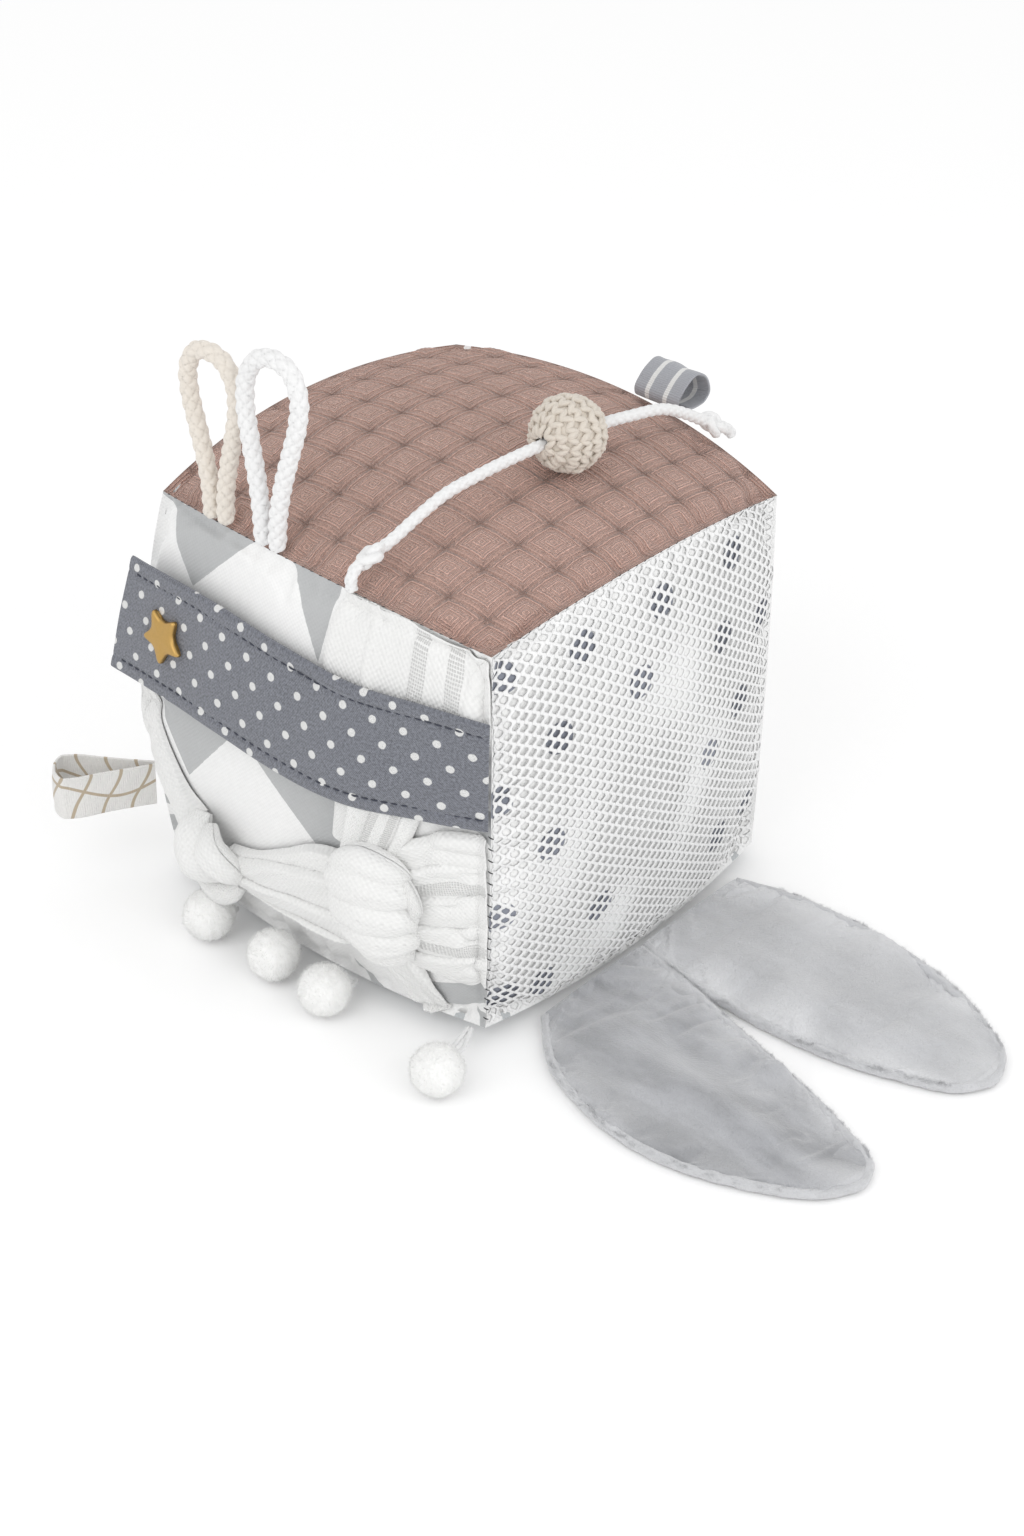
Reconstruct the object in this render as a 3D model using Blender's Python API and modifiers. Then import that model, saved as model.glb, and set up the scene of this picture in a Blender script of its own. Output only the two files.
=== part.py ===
"""A soft fabric block for a baby: a stuffed cube of six panels with things to pull, slide and open.

Metres, +Z up, standing on z = 0. The front with the strap faces -Y, and the netted side faces +X.
A place on the block is a point of a cube that runs from -1 to 1 each way, and skin() turns it
into the puffed surface. Names that end in share or shares hold parts of a size.
"""

import math

import bmesh
import bpy
import numpy as np
from mathutils import Matrix, Vector

# Block
SEAM_SPAN = 0.130
PRESSED_FOOT = 0.006
SEAM_BOW = 0.010
CROWN = 0.005
CORNER_RISE = 0.004
FABRIC = 0.0008
GAP = 0.0003
SEAM_ALLOWANCE = 0.0012
STUFFING_GAP = 0.0007
PANEL_CELLS = 11
STUFFING_CUTS = 6

# Net over the right panel
NET_STRAND = 0.0009
NET_CELLS = 12

# Strap and its snap
STRAP_WIDTH = 0.0385
STRAP_THICKNESS = 0.002
STRAP_REACH = 0.1395
STRAP_END_SLANT = 0.006
STRAP_HEIGHT = 0.0985
STRAP_WAVE = 0.004
STRAP_STANDOFF = 0.0125
STRAP_TWIST = 0.0070
STRAP_HINGE_PAST = 0.0015
STAR_RADIUS = 0.0096
STAR_THICKNESS = 0.0022
SNAP_RADIUS = 0.005
SNAP_BORE = 0.0025
SNAP_RING = 0.0018
SNAP_DISC = 0.0019
SNAP_POST = 0.0018
SNAP_POST_HEIGHT = 0.0016

# Cord loops in the top front seam
LOOP_CORD = 0.0050
LOOP_LEG_GAP = 0.0006
LOOP_HINGE_RISE = 0.0031
BEIGE_LOOP_HEIGHT = 0.0510
BEIGE_LOOP_WIDTH = 0.0195
BEIGE_LOOP_LEAN = -0.0015
WHITE_LOOP_HEIGHT = 0.0580
WHITE_LOOP_WIDTH = 0.0210
WHITE_LOOP_LEAN = 0.0035
LOOP_POINTS = 24

# Bead on its cord. The bead slides along an arc that clears the crown of the top.
BEAD_RADIUS = 0.0118
BEAD_CORE_RADIUS = 0.0092
BEAD_BORE = 0.0025
BEAD_COVER_BORE = 0.0030
BEAD_ARC = 0.2350
BEAD_ARC_OVER_CORD = 0.00055
BEAD_PAST_TOP = 0.0060
BEAD_CORD = 0.0033
BEAD_CORD_KNOT = 0.0072
BEAD_CORD_RISE = 0.0781
BEAD_CORD_SIDEWAYS = 0.0110

# Ribbon loops
RIBBON = 0.0008
TAG_LEG_GAP = 0.0008
STRIPED_TAG_WIDTH = 0.0170
STRIPED_TAG_HEIGHT = 0.0105
STRIPED_TAG_DEPTH = 0.0150
STRIPED_TAG_HINGE_RISE = 0.0022
LINED_TAG_WIDTH = 0.0150
LINED_TAG_LENGTH = 0.0300
LINED_TAG_SPREAD = 0.0150
LINED_TAG_HINGE_OUT = 0.0008
LINED_TAG_HEIGHT = 0.0330

# Pompoms on the bottom front seam
POMPOM_RADIUS = 0.0085
THREAD = 0.0016
THREAD_HINGE_OUT = 0.0009

# Muslin on the front
MUSLIN = 0.0006
MUSLIN_FOLD = 0.0008
MUSLIN_PLEAT = 0.0088
LARGE_KNOT_WIDTH = 0.0310
LARGE_KNOT_HEIGHT = 0.0430
LARGE_KNOT_DEPTH = 0.0150
SMALL_KNOT_WIDTH = 0.0260
SMALL_KNOT_HEIGHT = 0.0250
SMALL_KNOT_DEPTH = 0.0130
KNOT_SEAT = 0.0002
BAND_SEAT = 0.0001

# Ears in the bottom right seam
EAR_LENGTH = 0.1160
EAR_HALF_WIDTH = 0.0290
EAR_LAYER = 0.0029
EAR_HEIGHT = 0.0032
EAR_HINGE_OUT = 0.0031
EAR_ROOT_TUCK = 0.0006

HALF = SEAM_SPAN / 2
MIDDLE = HALF + PRESSED_FOOT
SEAM_REACH = HALF + SEAM_BOW
TOP_RISE = SEAM_BOW + CROWN
SEAM_SHARE = SEAM_ALLOWANCE / HALF

# Each face: the side and the axis it faces, then the two directions along it.
FACES = {"right": "+xyz", "left": "-xyz", "back": "+yxz", "front": "-yxz", "top": "+zxy", "bottom": "-zxy"}

# How far each face's seams bow out, as shares of SEAM_BOW: at the low and high end of its first
# direction, at the low and high end of its second, and last its crown as a share of CROWN.
FACE_SHARES = {
    "right": (0.35, 0.05, 0.30, 0.40, 1.0),
    "left": (0.90, 0.40, 0.50, 0.55, 1.0),
    "back": (0.40, 0.10, 0.50, 0.65, 1.0),
    "front": (0.20, 0.30, 0.60, 0.55, 1.2),
    "top": (0.70, 0.70, 0.30, 0.70, 1.0),
    "bottom": (0.20, 0.45, 0.15, 0.20, 1.2),
}

# How far the top corners rise, by their side in x and y, as shares of CORNER_RISE.
CORNER_RISE_SHARES = {(-1, 1): 1.0, (1, 1): -0.5, (-1, -1): 0.75, (1, -1): 0.0}

# The strap from its sewn end to its free end: how far its middle line stands off the front, how
# far it waves up and down, its width, and how far its lower edge stands out past its upper edge.
STRAP_STANDOFF_SHARES = (
    (0.0, 0.268), (0.12, 0.294), (0.30, 0.333), (0.48, 0.345), (0.60, 0.40), (0.75, 0.546), (0.885, 0.743), (1.0, 1.0),
)
STRAP_WAVE_SHARES = ((0.0, 0.15), (0.14, 0.1), (0.30, -0.45), (0.53, -0.05), (0.72, 0.5), (1.0, 0.33))
STRAP_WIDTH_SHARES = ((0.0, 0.93), (0.25, 1.0), (1.0, 1.0))
STRAP_TWIST_SHARES = (
    (0.0, -0.18), (0.12, -0.14), (0.24, 0.0), (0.48, 0.11), (0.60, 0.16), (0.75, 0.36), (0.885, 0.66), (1.0, 1.0),
)
STAR_PLACE_SHARE = 0.838
STAR_RISE_SHARE = 0.03
STAR_INNER_SHARE = 0.47

# One side of a cord loop from its foot to its top, in shares of its width and height.
LOOP_SIDE_SHARES = ((0.16, 0.14), (0.24, 0.32), (0.38, 0.53), (0.485, 0.71), (0.47, 0.86), (0.28, 0.97))
LOOP_PLACE_SHARES = {"beige": -0.56, "white": -0.22}

# The bead's place over the top, and its cord from front to back: each point as its distance past
# the bead in shares of SEAM_REACH, and its rise over the top seams in shares of TOP_RISE.
BEAD_PLACE_SHARES = (0.397, 0.097)
BEAD_CORD_SHARES = (
    (-1.061, 0.373),
    (-1.064, 0.573),
    (-1.043, 0.773),
    (-0.987, 0.893),
    (-0.880, 1.060),
    (-0.747, 1.353),
    (-0.613, 1.600),
    (-0.467, 1.713),
    (-0.267, 1.800),
    (-0.067, 1.827),
    (0.133, 1.793),
    (0.333, 1.693),
    (0.507, 1.547),
    (0.627, 1.253),
    (0.720, 0.960),
    (0.800, 0.707),
    (0.867, 0.520),
    (0.896, 0.360),
)
BEAD_CORD_POINTS = 40
BEAD_CORD_KNOT_SHARES = (-0.973, 0.787)
KNOT_REACH_SHARE = 0.6

# A striped tag's side view and a lined tag's top view, out from the seam.
STRIPED_TAG_SHARES = (
    (-0.16, 0.06), (-0.33, 0.21), (-0.35, 0.38), (-0.21, 0.66), (0.0, 0.89), (0.23, 1.0),
    (0.47, 0.84), (0.64, 0.50), (0.68, 0.18), (0.56, 0.0), (0.28, -0.04),
)
LINED_TAG_SHARES = (
    (-0.10, 0.12), (-0.26, 0.50), (-0.44, 0.88), (-0.43, 0.97), (-0.36, 1.0),
    (0.36, 1.0), (0.43, 0.97), (0.44, 0.88), (0.26, 0.50), (0.10, 0.12),
)
STRIPED_TAG_PLACE_SHARE = 0.245
LINED_TAG_WAY_SHARES = (-0.67, -0.74)
TAG_POINTS = 26

# Pompoms along the bottom front seam: the place on the seam, then how far the middle of the
# pompom lies sideways and outward from it, in pompom radii.
POMPOM_SHARES = ((-0.52, 0.0, 1.35), (-0.075, 0.0, 1.3), (0.285, 0.0, 1.6), (0.93, 0.95, 2.75))

# Muslin bands on the front, along their middle lines: place across and up, and width as a share
# of HALF.
MUSLIN_BAND_SHARES = {
    "muslin_upright": ((0.50, 0.975, 0.66), (0.49, 0.70, 0.56), (0.46, 0.35, 0.44), (0.44, 0.06, 0.34)),
    "muslin_tail": ((0.62, -0.70, 0.20), (0.67, -0.82, 0.23), (0.74, -0.93, 0.17)),
    "muslin_across": ((0.955, -0.39, 0.68), (0.90, -0.38, 0.60), (0.845, -0.36, 0.50)),
    "muslin_bridge": ((0.27, -0.47, 0.40), (0.08, -0.53, 0.28), (-0.12, -0.57, 0.18), (-0.26, -0.58, 0.15)),
    "muslin_corner_tail": ((-0.93, 0.02, 0.16), (-0.85, -0.18, 0.17), (-0.68, -0.38, 0.15)),
}
LEAST_FOLD_COUNT = 2
BAND_CELLS = 8
LARGE_KNOT_PLACE_SHARES = (0.56, -0.30)
SMALL_KNOT_PLACE_SHARES = (-0.47, -0.575)
KNOT_FOLD_COUNT = 5
KNOT_FOLD_SHARE = 0.12

# An ear's half width along its length, and how its layers thin toward the root and the rim.
EAR_WIDTH_SHARES = (
    (0.0, 0.78), (0.15, 0.94), (0.35, 1.0), (0.55, 0.96), (0.70, 0.84), (0.85, 0.61), (0.95, 0.39), (1.0, 0.19),
)
EAR_THICKNESS_SHARES = ((0.0, 0.34), (0.12, 0.75), (0.30, 1.0), (0.80, 1.0), (1.0, 0.6))
EAR_RIM_SHARE = 0.35
EAR_SQUARE_ROOT_SHARE = 0.25

# Each ear's place on its seam, the slant of its line, and how far it bends, as shares of its length.
EAR_LAYOUT_SHARES = {"ear_near": (-0.33, -0.185, -0.095), "ear_far": (0.40, -0.035, 0.015)}

COLLECTION = "soft_fabric_block"
BROWN = (0.36, 0.24, 0.20)
WHITE = (0.86, 0.86, 0.85)
NET_WHITE = (0.90, 0.90, 0.90)
GREY = (0.52, 0.54, 0.55)
DENIM = (0.17, 0.19, 0.24)
GOLD = (0.46, 0.29, 0.09)
STEEL = (0.62, 0.62, 0.60)
BEIGE = (0.74, 0.66, 0.54)
CROCHET = (0.60, 0.54, 0.44)
WOOD = (0.55, 0.38, 0.22)
TAPE_GREY = (0.28, 0.30, 0.34)
PLUSH_GREY = (0.37, 0.39, 0.42)


def material(name, colour, roughness=0.85, metallic=0.0):
    """A plain finish for one piece."""
    made = bpy.data.materials.new(name)
    made.use_nodes = True
    shader = made.node_tree.nodes["Principled BSDF"]
    shader.inputs["Base Color"].default_value = (*colour, 1.0)
    shader.inputs["Roughness"].default_value = roughness
    shader.inputs["Metallic"].default_value = metallic
    made.diffuse_color = (*colour, 1.0)
    return made


def place(name, data, colour, roughness=0.85, metallic=0.0):
    """Puts a mesh or a curve in the block's collection under its own material."""
    piece = bpy.data.objects.new(name, data)
    bpy.data.collections[COLLECTION].objects.link(piece)
    data.materials.append(material(name, colour, roughness, metallic))
    return piece


def pivot(name, location):
    """An empty on a joint's axis, for the pieces that turn about it."""
    empty = bpy.data.objects.new(name, None)
    empty.empty_display_size = GAP
    empty.location = location
    bpy.data.collections[COLLECTION].objects.link(empty)
    return empty


def hang(piece, joint):
    """Hangs a piece on its joint's empty and leaves it where it is."""
    piece.parent = joint
    piece.matrix_parent_inverse = Matrix.Translation(joint.location).inverted()


def smooth(points, at):
    """The value at a place on a smooth curve through rows of place and value."""
    rows = np.array(points, float)
    places = rows[:, 0]
    values = rows[:, 1:]
    slopes = np.gradient(values, places, axis=0)
    low = int(np.clip(np.searchsorted(places, at) - 1, 0, len(places) - 2))
    run = places[low + 1] - places[low]
    t = (at - places[low]) / run
    start = (1 + 2 * t) * (1 - t) ** 2 * values[low] + t * (1 - t) ** 2 * run * slopes[low]
    end = t * t * (3 - 2 * t) * values[low + 1] + t * t * (t - 1) * run * slopes[low + 1]
    value = start + end
    return float(value[0]) if len(value) == 1 else value


def along(points, count):
    """Points spread evenly along a smooth curve through the given ones."""
    points = np.array([tuple(point) for point in points])
    steps = np.linalg.norm(np.diff(points, axis=0), axis=1)
    places = np.concatenate([[0.0], np.cumsum(steps)])
    rows = np.column_stack([places, points])
    return [Vector(smooth(rows, at)) for at in np.linspace(0, places[-1], count)]


def layout(face):
    """A face's axis, its side of the block, and the two directions along it, as numbers."""
    side, *letters = FACES[face]
    axis, first, second = ("xyz".index(letter) for letter in letters)
    return axis, 1 if side == "+" else -1, first, second


def bow(face, u, v):
    """How far a face stands out of the flat cube at a place on it."""
    low_u, high_u, low_v, high_v, crown = FACE_SHARES[face]
    across = (1 - v * v) * (low_u * (1 - u) + high_u * (1 + u)) / 2
    upward = (1 - u * u) * (low_v * (1 - v) + high_v * (1 + v)) / 2
    return SEAM_BOW * (across + upward) + CROWN * crown * (1 - u * u) * (1 - v * v)


def skin(place_on_cube, inset=0.0):
    """The block's surface at a place on the cube, drawn in by an inset. The foot is pressed flat."""
    half = HALF - inset
    x, y, z = place_on_cube
    point = Vector((half * x, half * y, MIDDLE + half * z))
    for face in FACES:
        axis, side, first, second = layout(face)
        out = bow(face, place_on_cube[first], place_on_cube[second])
        if face == "bottom":
            out = min(out, PRESSED_FOOT)
        point[axis] += side * out * ((1 + side * place_on_cube[axis]) / 2) ** 2
    rise = sum(
        share * (1 + side_x * x) * (1 + side_y * y)
        for (side_x, side_y), share in CORNER_RISE_SHARES.items()
    )
    point.z += CORNER_RISE * rise / 4 * (1 + z) / 2
    return point


def front_frame(x, z):
    """Where the front skin is at a place across and up, and which way it faces there."""
    middle = skin((x, -1, z))
    across = skin((x + SEAM_SHARE, -1, z)) - middle
    upward = skin((x, -1, z + SEAM_SHARE)) - middle
    return middle, across.cross(upward).normalized()


def turned_to(axis):
    """A rotation that lays local Z along an axis, with local Y as near to straight up as it can."""
    side = Vector((0, 0, 1)).cross(axis).normalized()
    return Matrix((side, axis.cross(side), axis)).transposed().to_4x4()


def sheet(name, columns, rows, place_at, colour, roughness=0.85):
    """A grid laid by place_at(u, v), with u and v from -1 to 1."""
    shape = bmesh.new()
    bmesh.ops.create_grid(shape, x_segments=columns, y_segments=rows, size=1)
    for vertex in shape.verts:
        vertex.co = place_at(vertex.co.x, vertex.co.y)
    mesh = bpy.data.meshes.new(name)
    shape.to_mesh(mesh)
    shape.free()
    return place(name, mesh, colour, roughness)


def solidify(piece, thickness, offset):
    """Gives a sheet its thickness: outward of its faces at 1, inward at -1, half each way at 0."""
    solid = piece.modifiers.new("Thickness", "SOLIDIFY")
    solid.thickness = thickness
    solid.offset = offset
    return solid


def tube(name, points, radius, colour, shares=None, roughness=0.85):
    """A round cord along points, with its radius at each as a share where shares are given."""
    curve = bpy.data.curves.new(name, "CURVE")
    curve.dimensions = "3D"
    curve.bevel_depth = radius
    curve.bevel_resolution = 2
    curve.use_fill_caps = True
    spline = curve.splines.new("POLY")
    spline.points.add(len(points) - 1)
    for i, point in enumerate(points):
        spline.points[i].co = (*point, 1.0)
        spline.points[i].radius = shares[i] if shares else 1.0
    return place(name, curve, colour, roughness)


def ribbon(name, outline, width, colour):
    """A ribbon on edge: an outline in its local XY plane, as wide as given along local Z."""
    curve = bpy.data.curves.new(name, "CURVE")
    curve.dimensions = "2D"
    curve.fill_mode = "NONE"
    curve.extrude = width / 2
    spline = curve.splines.new("POLY")
    spline.points.add(len(outline) - 1)
    for i, point in enumerate(outline):
        spline.points[i].co = (point[0], point[1], 0, 1)
    piece = place(name, curve, colour)
    solidify(piece, RIBBON, 0)
    return piece


def turned(name, profile, steps, colour, roughness=0.85, metallic=0.0, ring=False):
    """A turned piece about local Z from a profile of (radius, height), top to bottom outside."""
    mesh = bpy.data.meshes.new(name)
    edges = [(i, i + 1) for i in range(len(profile) - 1)]
    if ring:
        edges.append((len(profile) - 1, 0))
    mesh.from_pydata([(radius, 0, height) for radius, height in profile], edges, [])
    piece = place(name, mesh, colour, roughness, metallic)
    screw = piece.modifiers.new("Turn", "SCREW")
    screw.steps = steps
    screw.render_steps = steps
    screw.use_merge_vertices = not ring
    screw.merge_threshold = GAP / 10
    return piece


def arc(radius, bore, steps, way=1):
    """A ball's outline from one end of its bore to the other, top to bottom, or back up."""
    tip = math.asin(bore / radius)
    angles = [tip + (math.pi - 2 * tip) * i / steps for i in range(steps + 1)]
    return [(radius * math.sin(a), radius * math.cos(a)) for a in angles[::way]]


def make_panels():
    """Six panels, sewn edge to edge, each a puffed square of fabric."""
    colours = {"top": BROWN, "bottom": GREY}
    for face in FACES:
        axis, side, first, second = layout(face)
        turn = -1 if face in ("left", "back", "bottom") else 1

        def place_at(u, v, axis=axis, side=side, first=first, second=second, turn=turn):
            spot = [0, 0, 0]
            spot[axis] = side
            spot[first] = turn * u * (1 - SEAM_SHARE)
            spot[second] = v * (1 - SEAM_SHARE)
            return skin(spot)

        panel = sheet("panel_" + face, PANEL_CELLS, PANEL_CELLS, place_at, colours.get(face, WHITE))
        solidify(panel, FABRIC, -1)


def make_filling():
    """The stuffing: one puffed body just inside the panels."""
    shape = bmesh.new()
    bmesh.ops.create_cube(shape, size=2)
    bmesh.ops.subdivide_edges(shape, edges=shape.edges[:], cuts=STUFFING_CUTS, use_grid_fill=True)
    for vertex in shape.verts:
        vertex.co = skin(vertex.co, FABRIC + STUFFING_GAP)
    mesh = bpy.data.meshes.new("filling")
    shape.to_mesh(mesh)
    shape.free()
    place("filling", mesh, WHITE)


def make_net():
    """An openwork net over the right panel."""
    out = GAP + NET_STRAND / 2

    def place_at(u, v):
        spot = (1, u * (1 - SEAM_SHARE), v * (1 - SEAM_SHARE))
        return skin(spot, -out)

    net = sheet("net_overlay", NET_CELLS, NET_CELLS, place_at, NET_WHITE)
    wire = net.modifiers.new("Strands", "WIREFRAME")
    wire.thickness = NET_STRAND
    wire.offset = 0
    wire.use_boundary = True
    wire.use_replace = True


def strap_point(along_share, rise_share):
    """The strap's middle surface: from its hinge at 0 to its free end at 1, up from -0.5 to 0.5."""
    reach = STRAP_REACH - STRAP_END_SLANT * rise_share
    x = HALF + STRAP_HINGE_PAST - reach * along_share
    width = STRAP_WIDTH * smooth(STRAP_WIDTH_SHARES, along_share)
    z = STRAP_HEIGHT + STRAP_WAVE * smooth(STRAP_WAVE_SHARES, along_share) + width * rise_share
    front = HALF + bow("front", x / HALF, (z - MIDDLE) / HALF)
    standoff = STRAP_STANDOFF * smooth(STRAP_STANDOFF_SHARES, along_share)
    twist = STRAP_TWIST * rise_share * smooth(STRAP_TWIST_SHARES, along_share)
    return Vector((x, twist - front - standoff, z))


def make_strap():
    """The strap, the star on its free end, and the snap behind it."""
    sewn_end = strap_point(0, 0)
    hinge = pivot("strap_hinge", (sewn_end.x, sewn_end.y, STRAP_HEIGHT))
    strap = sheet("strap", 24, 3, lambda u, v: strap_point((1 - u) / 2, v / 2), DENIM)
    solidify(strap, STRAP_THICKNESS, 0)
    hang(strap, hinge)

    middle = strap_point(STAR_PLACE_SHARE, STAR_RISE_SHARE)
    toward_hinge = strap_point(STAR_PLACE_SHARE - SEAM_SHARE, STAR_RISE_SHARE) - middle
    upward = strap_point(STAR_PLACE_SHARE, STAR_RISE_SHARE + SEAM_SHARE) - middle
    outward = toward_hinge.cross(upward).normalized()
    turn = turned_to(outward)

    curve = bpy.data.curves.new("star_cap", "CURVE")
    curve.dimensions = "2D"
    curve.fill_mode = "BOTH"
    curve.extrude = STAR_THICKNESS / 2
    spline = curve.splines.new("POLY")
    spline.points.add(9)
    spline.use_cyclic_u = True
    for i, point in enumerate(spline.points):
        radius = STAR_RADIUS * (STAR_INNER_SHARE if i % 2 else 1)
        angle = math.pi * i / 5 - math.pi / 2
        point.co = (radius * math.cos(angle), radius * math.sin(angle), 0, 1)
    star = place("star_cap", curve, GOLD, 0.35, 1.0)
    star_out = STRAP_THICKNESS / 2 + GAP + STAR_THICKNESS / 2
    star.matrix_world = Matrix.Translation(middle + outward * star_out) @ turn
    hang(star, hinge)

    ring = [
        (SNAP_RADIUS, SNAP_RING / 2),
        (SNAP_RADIUS, -SNAP_RING / 2),
        (SNAP_BORE, -SNAP_RING / 2),
        (SNAP_BORE, SNAP_RING / 2),
    ]
    socket = turned("snap_socket", ring, 24, STEEL, 0.35, 1.0, ring=True)
    socket_in = STRAP_THICKNESS / 2 + GAP + SNAP_RING / 2
    socket.matrix_world = Matrix.Translation(middle - outward * socket_in) @ turn
    hang(socket, hinge)

    stud_profile = [
        (0, SNAP_POST_HEIGHT),
        (SNAP_POST, SNAP_POST_HEIGHT),
        (SNAP_POST, 0),
        (SNAP_RADIUS, 0),
        (SNAP_RADIUS, -SNAP_DISC),
        (0, -SNAP_DISC),
    ]
    stud = turned("snap_stud", stud_profile, 24, STEEL, 0.35, 1.0)
    stud_in = socket_in + SNAP_RING / 2 + GAP
    stud.matrix_world = Matrix.Translation(middle - outward * stud_in) @ turn


def rounded_ends(points, radius):
    """Extends a cord past each end to a round tip about that end, with its radius shares."""
    turns = (0.35, 0.7, 0.95)
    reaches = [radius * math.sin(math.pi / 2 * t) for t in turns]
    tips = [math.cos(math.pi / 2 * t) for t in turns]
    start = (points[0] - points[1]).normalized()
    end = (points[-1] - points[-2]).normalized()
    before = [points[0] + start * reach for reach in reversed(reaches)]
    after = [points[-1] + end * reach for reach in reaches]
    return before + points + after, tips[::-1] + [1.0] * len(points) + tips


def make_cord_loop(name, seam_share, width, height, lean, colour):
    """A loop of braided cord that stands up from the top front seam on its two feet."""
    root = skin((seam_share, -1, 1)) + Vector((0, 0, LOOP_HINGE_RISE))
    hinge = pivot(name + "_hinge", root)
    foot = (LOOP_CORD + LOOP_LEG_GAP) / 2
    right = [(foot, 0.0)]
    right += [(width * out, height * up) for out, up in LOOP_SIDE_SHARES]
    sides = right + [(0.0, height)] + [(-x, z) for x, z in reversed(right)]
    route = [root + Vector((x + lean * (z / height) ** 2, 0, z)) for x, z in sides]
    points, shares = rounded_ends(along(route, LOOP_POINTS), LOOP_CORD / 2)
    hang(tube(name, points, LOOP_CORD / 2, colour, shares), hinge)


def make_bead():
    """The cord over the top with a knot near each end, and the crocheted bead on it."""
    run = math.hypot(BEAD_CORD_RISE, BEAD_CORD_SIDEWAYS)
    way = Vector((BEAD_CORD_SIDEWAYS / run, BEAD_CORD_RISE / run, 0))
    bead = Vector((*BEAD_PLACE_SHARES, 0)) * SEAM_REACH
    seams = MIDDLE + HALF
    route = [
        bead + way * (SEAM_REACH * past) + Vector((0, 0, seams + TOP_RISE * rise))
        for past, rise in BEAD_CORD_SHARES
    ]
    points = along(route, BEAD_CORD_POINTS)
    shares = []
    for point in points:
        distance = (point - bead).dot(way)
        nearest = min(abs(distance - SEAM_REACH * knot) for knot in BEAD_CORD_KNOT_SHARES)
        swell = max(0.0, 1 - (nearest / (BEAD_CORD_KNOT * KNOT_REACH_SHARE)) ** 2)
        shares.append(1 + (BEAD_CORD_KNOT / BEAD_CORD - 1) * math.sqrt(swell))
    tube("bead_cord", points, BEAD_CORD / 2, WHITE, shares)

    arc_top = max(point.z for point in route) + BEAD_ARC_OVER_CORD
    centre = bead - way * BEAD_PAST_TOP + Vector((0, 0, arc_top - BEAD_ARC))
    past = BEAD_PAST_TOP / BEAD_ARC
    outward = way * math.sin(past) + Vector((0, 0, math.cos(past)))
    middle = centre + outward * BEAD_ARC
    axis = way * math.cos(past) - Vector((0, 0, math.sin(past)))
    slide = pivot("bead_arc_centre", centre)
    spin = pivot("bead_spin_centre", middle)
    turn = Matrix.Translation(middle) @ turned_to(axis)
    core = turned("bead_core", arc(BEAD_CORE_RADIUS, BEAD_BORE, 8), 18, WOOD, 0.6, ring=True)
    core.matrix_world = turn
    hang(core, slide)
    outline = arc(BEAD_RADIUS, BEAD_COVER_BORE, 10)
    outline += arc(BEAD_CORE_RADIUS + GAP, BEAD_COVER_BORE, 8, -1)
    cover = turned("bead_cover", outline, 20, CROCHET, ring=True)
    cover.matrix_world = turn
    hang(cover, spin)


def make_striped_tag():
    """A striped ribbon loop that stands on the top back seam."""
    root = skin((STRIPED_TAG_PLACE_SHARE, 1, 1)) + Vector((0, 0, STRIPED_TAG_HINGE_RISE))
    foot = (TAG_LEG_GAP + RIBBON) / 2
    sides = [(STRIPED_TAG_DEPTH * out, STRIPED_TAG_HEIGHT * up) for out, up in STRIPED_TAG_SHARES]
    outline = along([(-foot, 0)] + sides + [(foot, 0)], TAG_POINTS)
    tag = ribbon("tag_striped", outline, STRIPED_TAG_WIDTH, TAPE_GREY)
    across_x = Matrix(((0, 0, 1), (1, 0, 0), (0, 1, 0))).to_4x4()
    tag.matrix_world = Matrix.Translation(root) @ across_x
    hang(tag, pivot("tag_striped_hinge", root))


def make_lined_tag():
    """A ribbon loop with a squared end that sticks out of the front left seam."""
    seam_share = (LINED_TAG_HEIGHT - MIDDLE) / HALF
    out = Vector((*LINED_TAG_WAY_SHARES, 0)).normalized()
    seam = skin((-1, -1, seam_share))
    root = Vector((seam.x, seam.y, LINED_TAG_HEIGHT)) + out * LINED_TAG_HINGE_OUT
    foot = (TAG_LEG_GAP + RIBBON) / 2
    sides = [(LINED_TAG_SPREAD * side, LINED_TAG_LENGTH * reach) for side, reach in LINED_TAG_SHARES]
    outline = along([(-foot, 0)] + sides + [(foot, 0)], TAG_POINTS)
    tag = ribbon("tag_lined", outline, LINED_TAG_WIDTH, WHITE)
    side = Vector((out.y, -out.x, 0))
    turn = Matrix((side, out, side.cross(out))).transposed().to_4x4()
    tag.matrix_world = Matrix.Translation(root) @ turn
    hang(tag, pivot("tag_lined_hinge", root))


def make_pompom(number, seam_share, sideways, outward):
    """A pompom that lies on the floor at the end of its thread."""
    root = skin((seam_share, -1, -1)) + Vector((0, -THREAD_HINGE_OUT, 0))
    middle = Vector((
        root.x + POMPOM_RADIUS * sideways,
        root.y - POMPOM_RADIUS * outward,
        POMPOM_RADIUS,
    ))
    hinge = pivot(f"pompom_hinge_{number}", root)
    shape = bmesh.new()
    bmesh.ops.create_uvsphere(shape, u_segments=14, v_segments=9, radius=POMPOM_RADIUS)
    mesh = bpy.data.meshes.new(f"pompom_{number}")
    shape.to_mesh(mesh)
    shape.free()
    ball = place(f"pompom_{number}", mesh, WHITE)
    ball.location = middle
    hang(ball, hinge)

    reach = (middle - root).length
    end = root.lerp(middle, 1 - (POMPOM_RADIUS + GAP) / reach)
    sag = Vector((0, 0, THREAD / 2)) * (root - end).length / POMPOM_RADIUS
    points = along([root, root.lerp(end, 0.5) - sag, end], 5)
    hang(tube(f"pompom_thread_{number}", points, THREAD / 2, WHITE), hinge)


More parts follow.
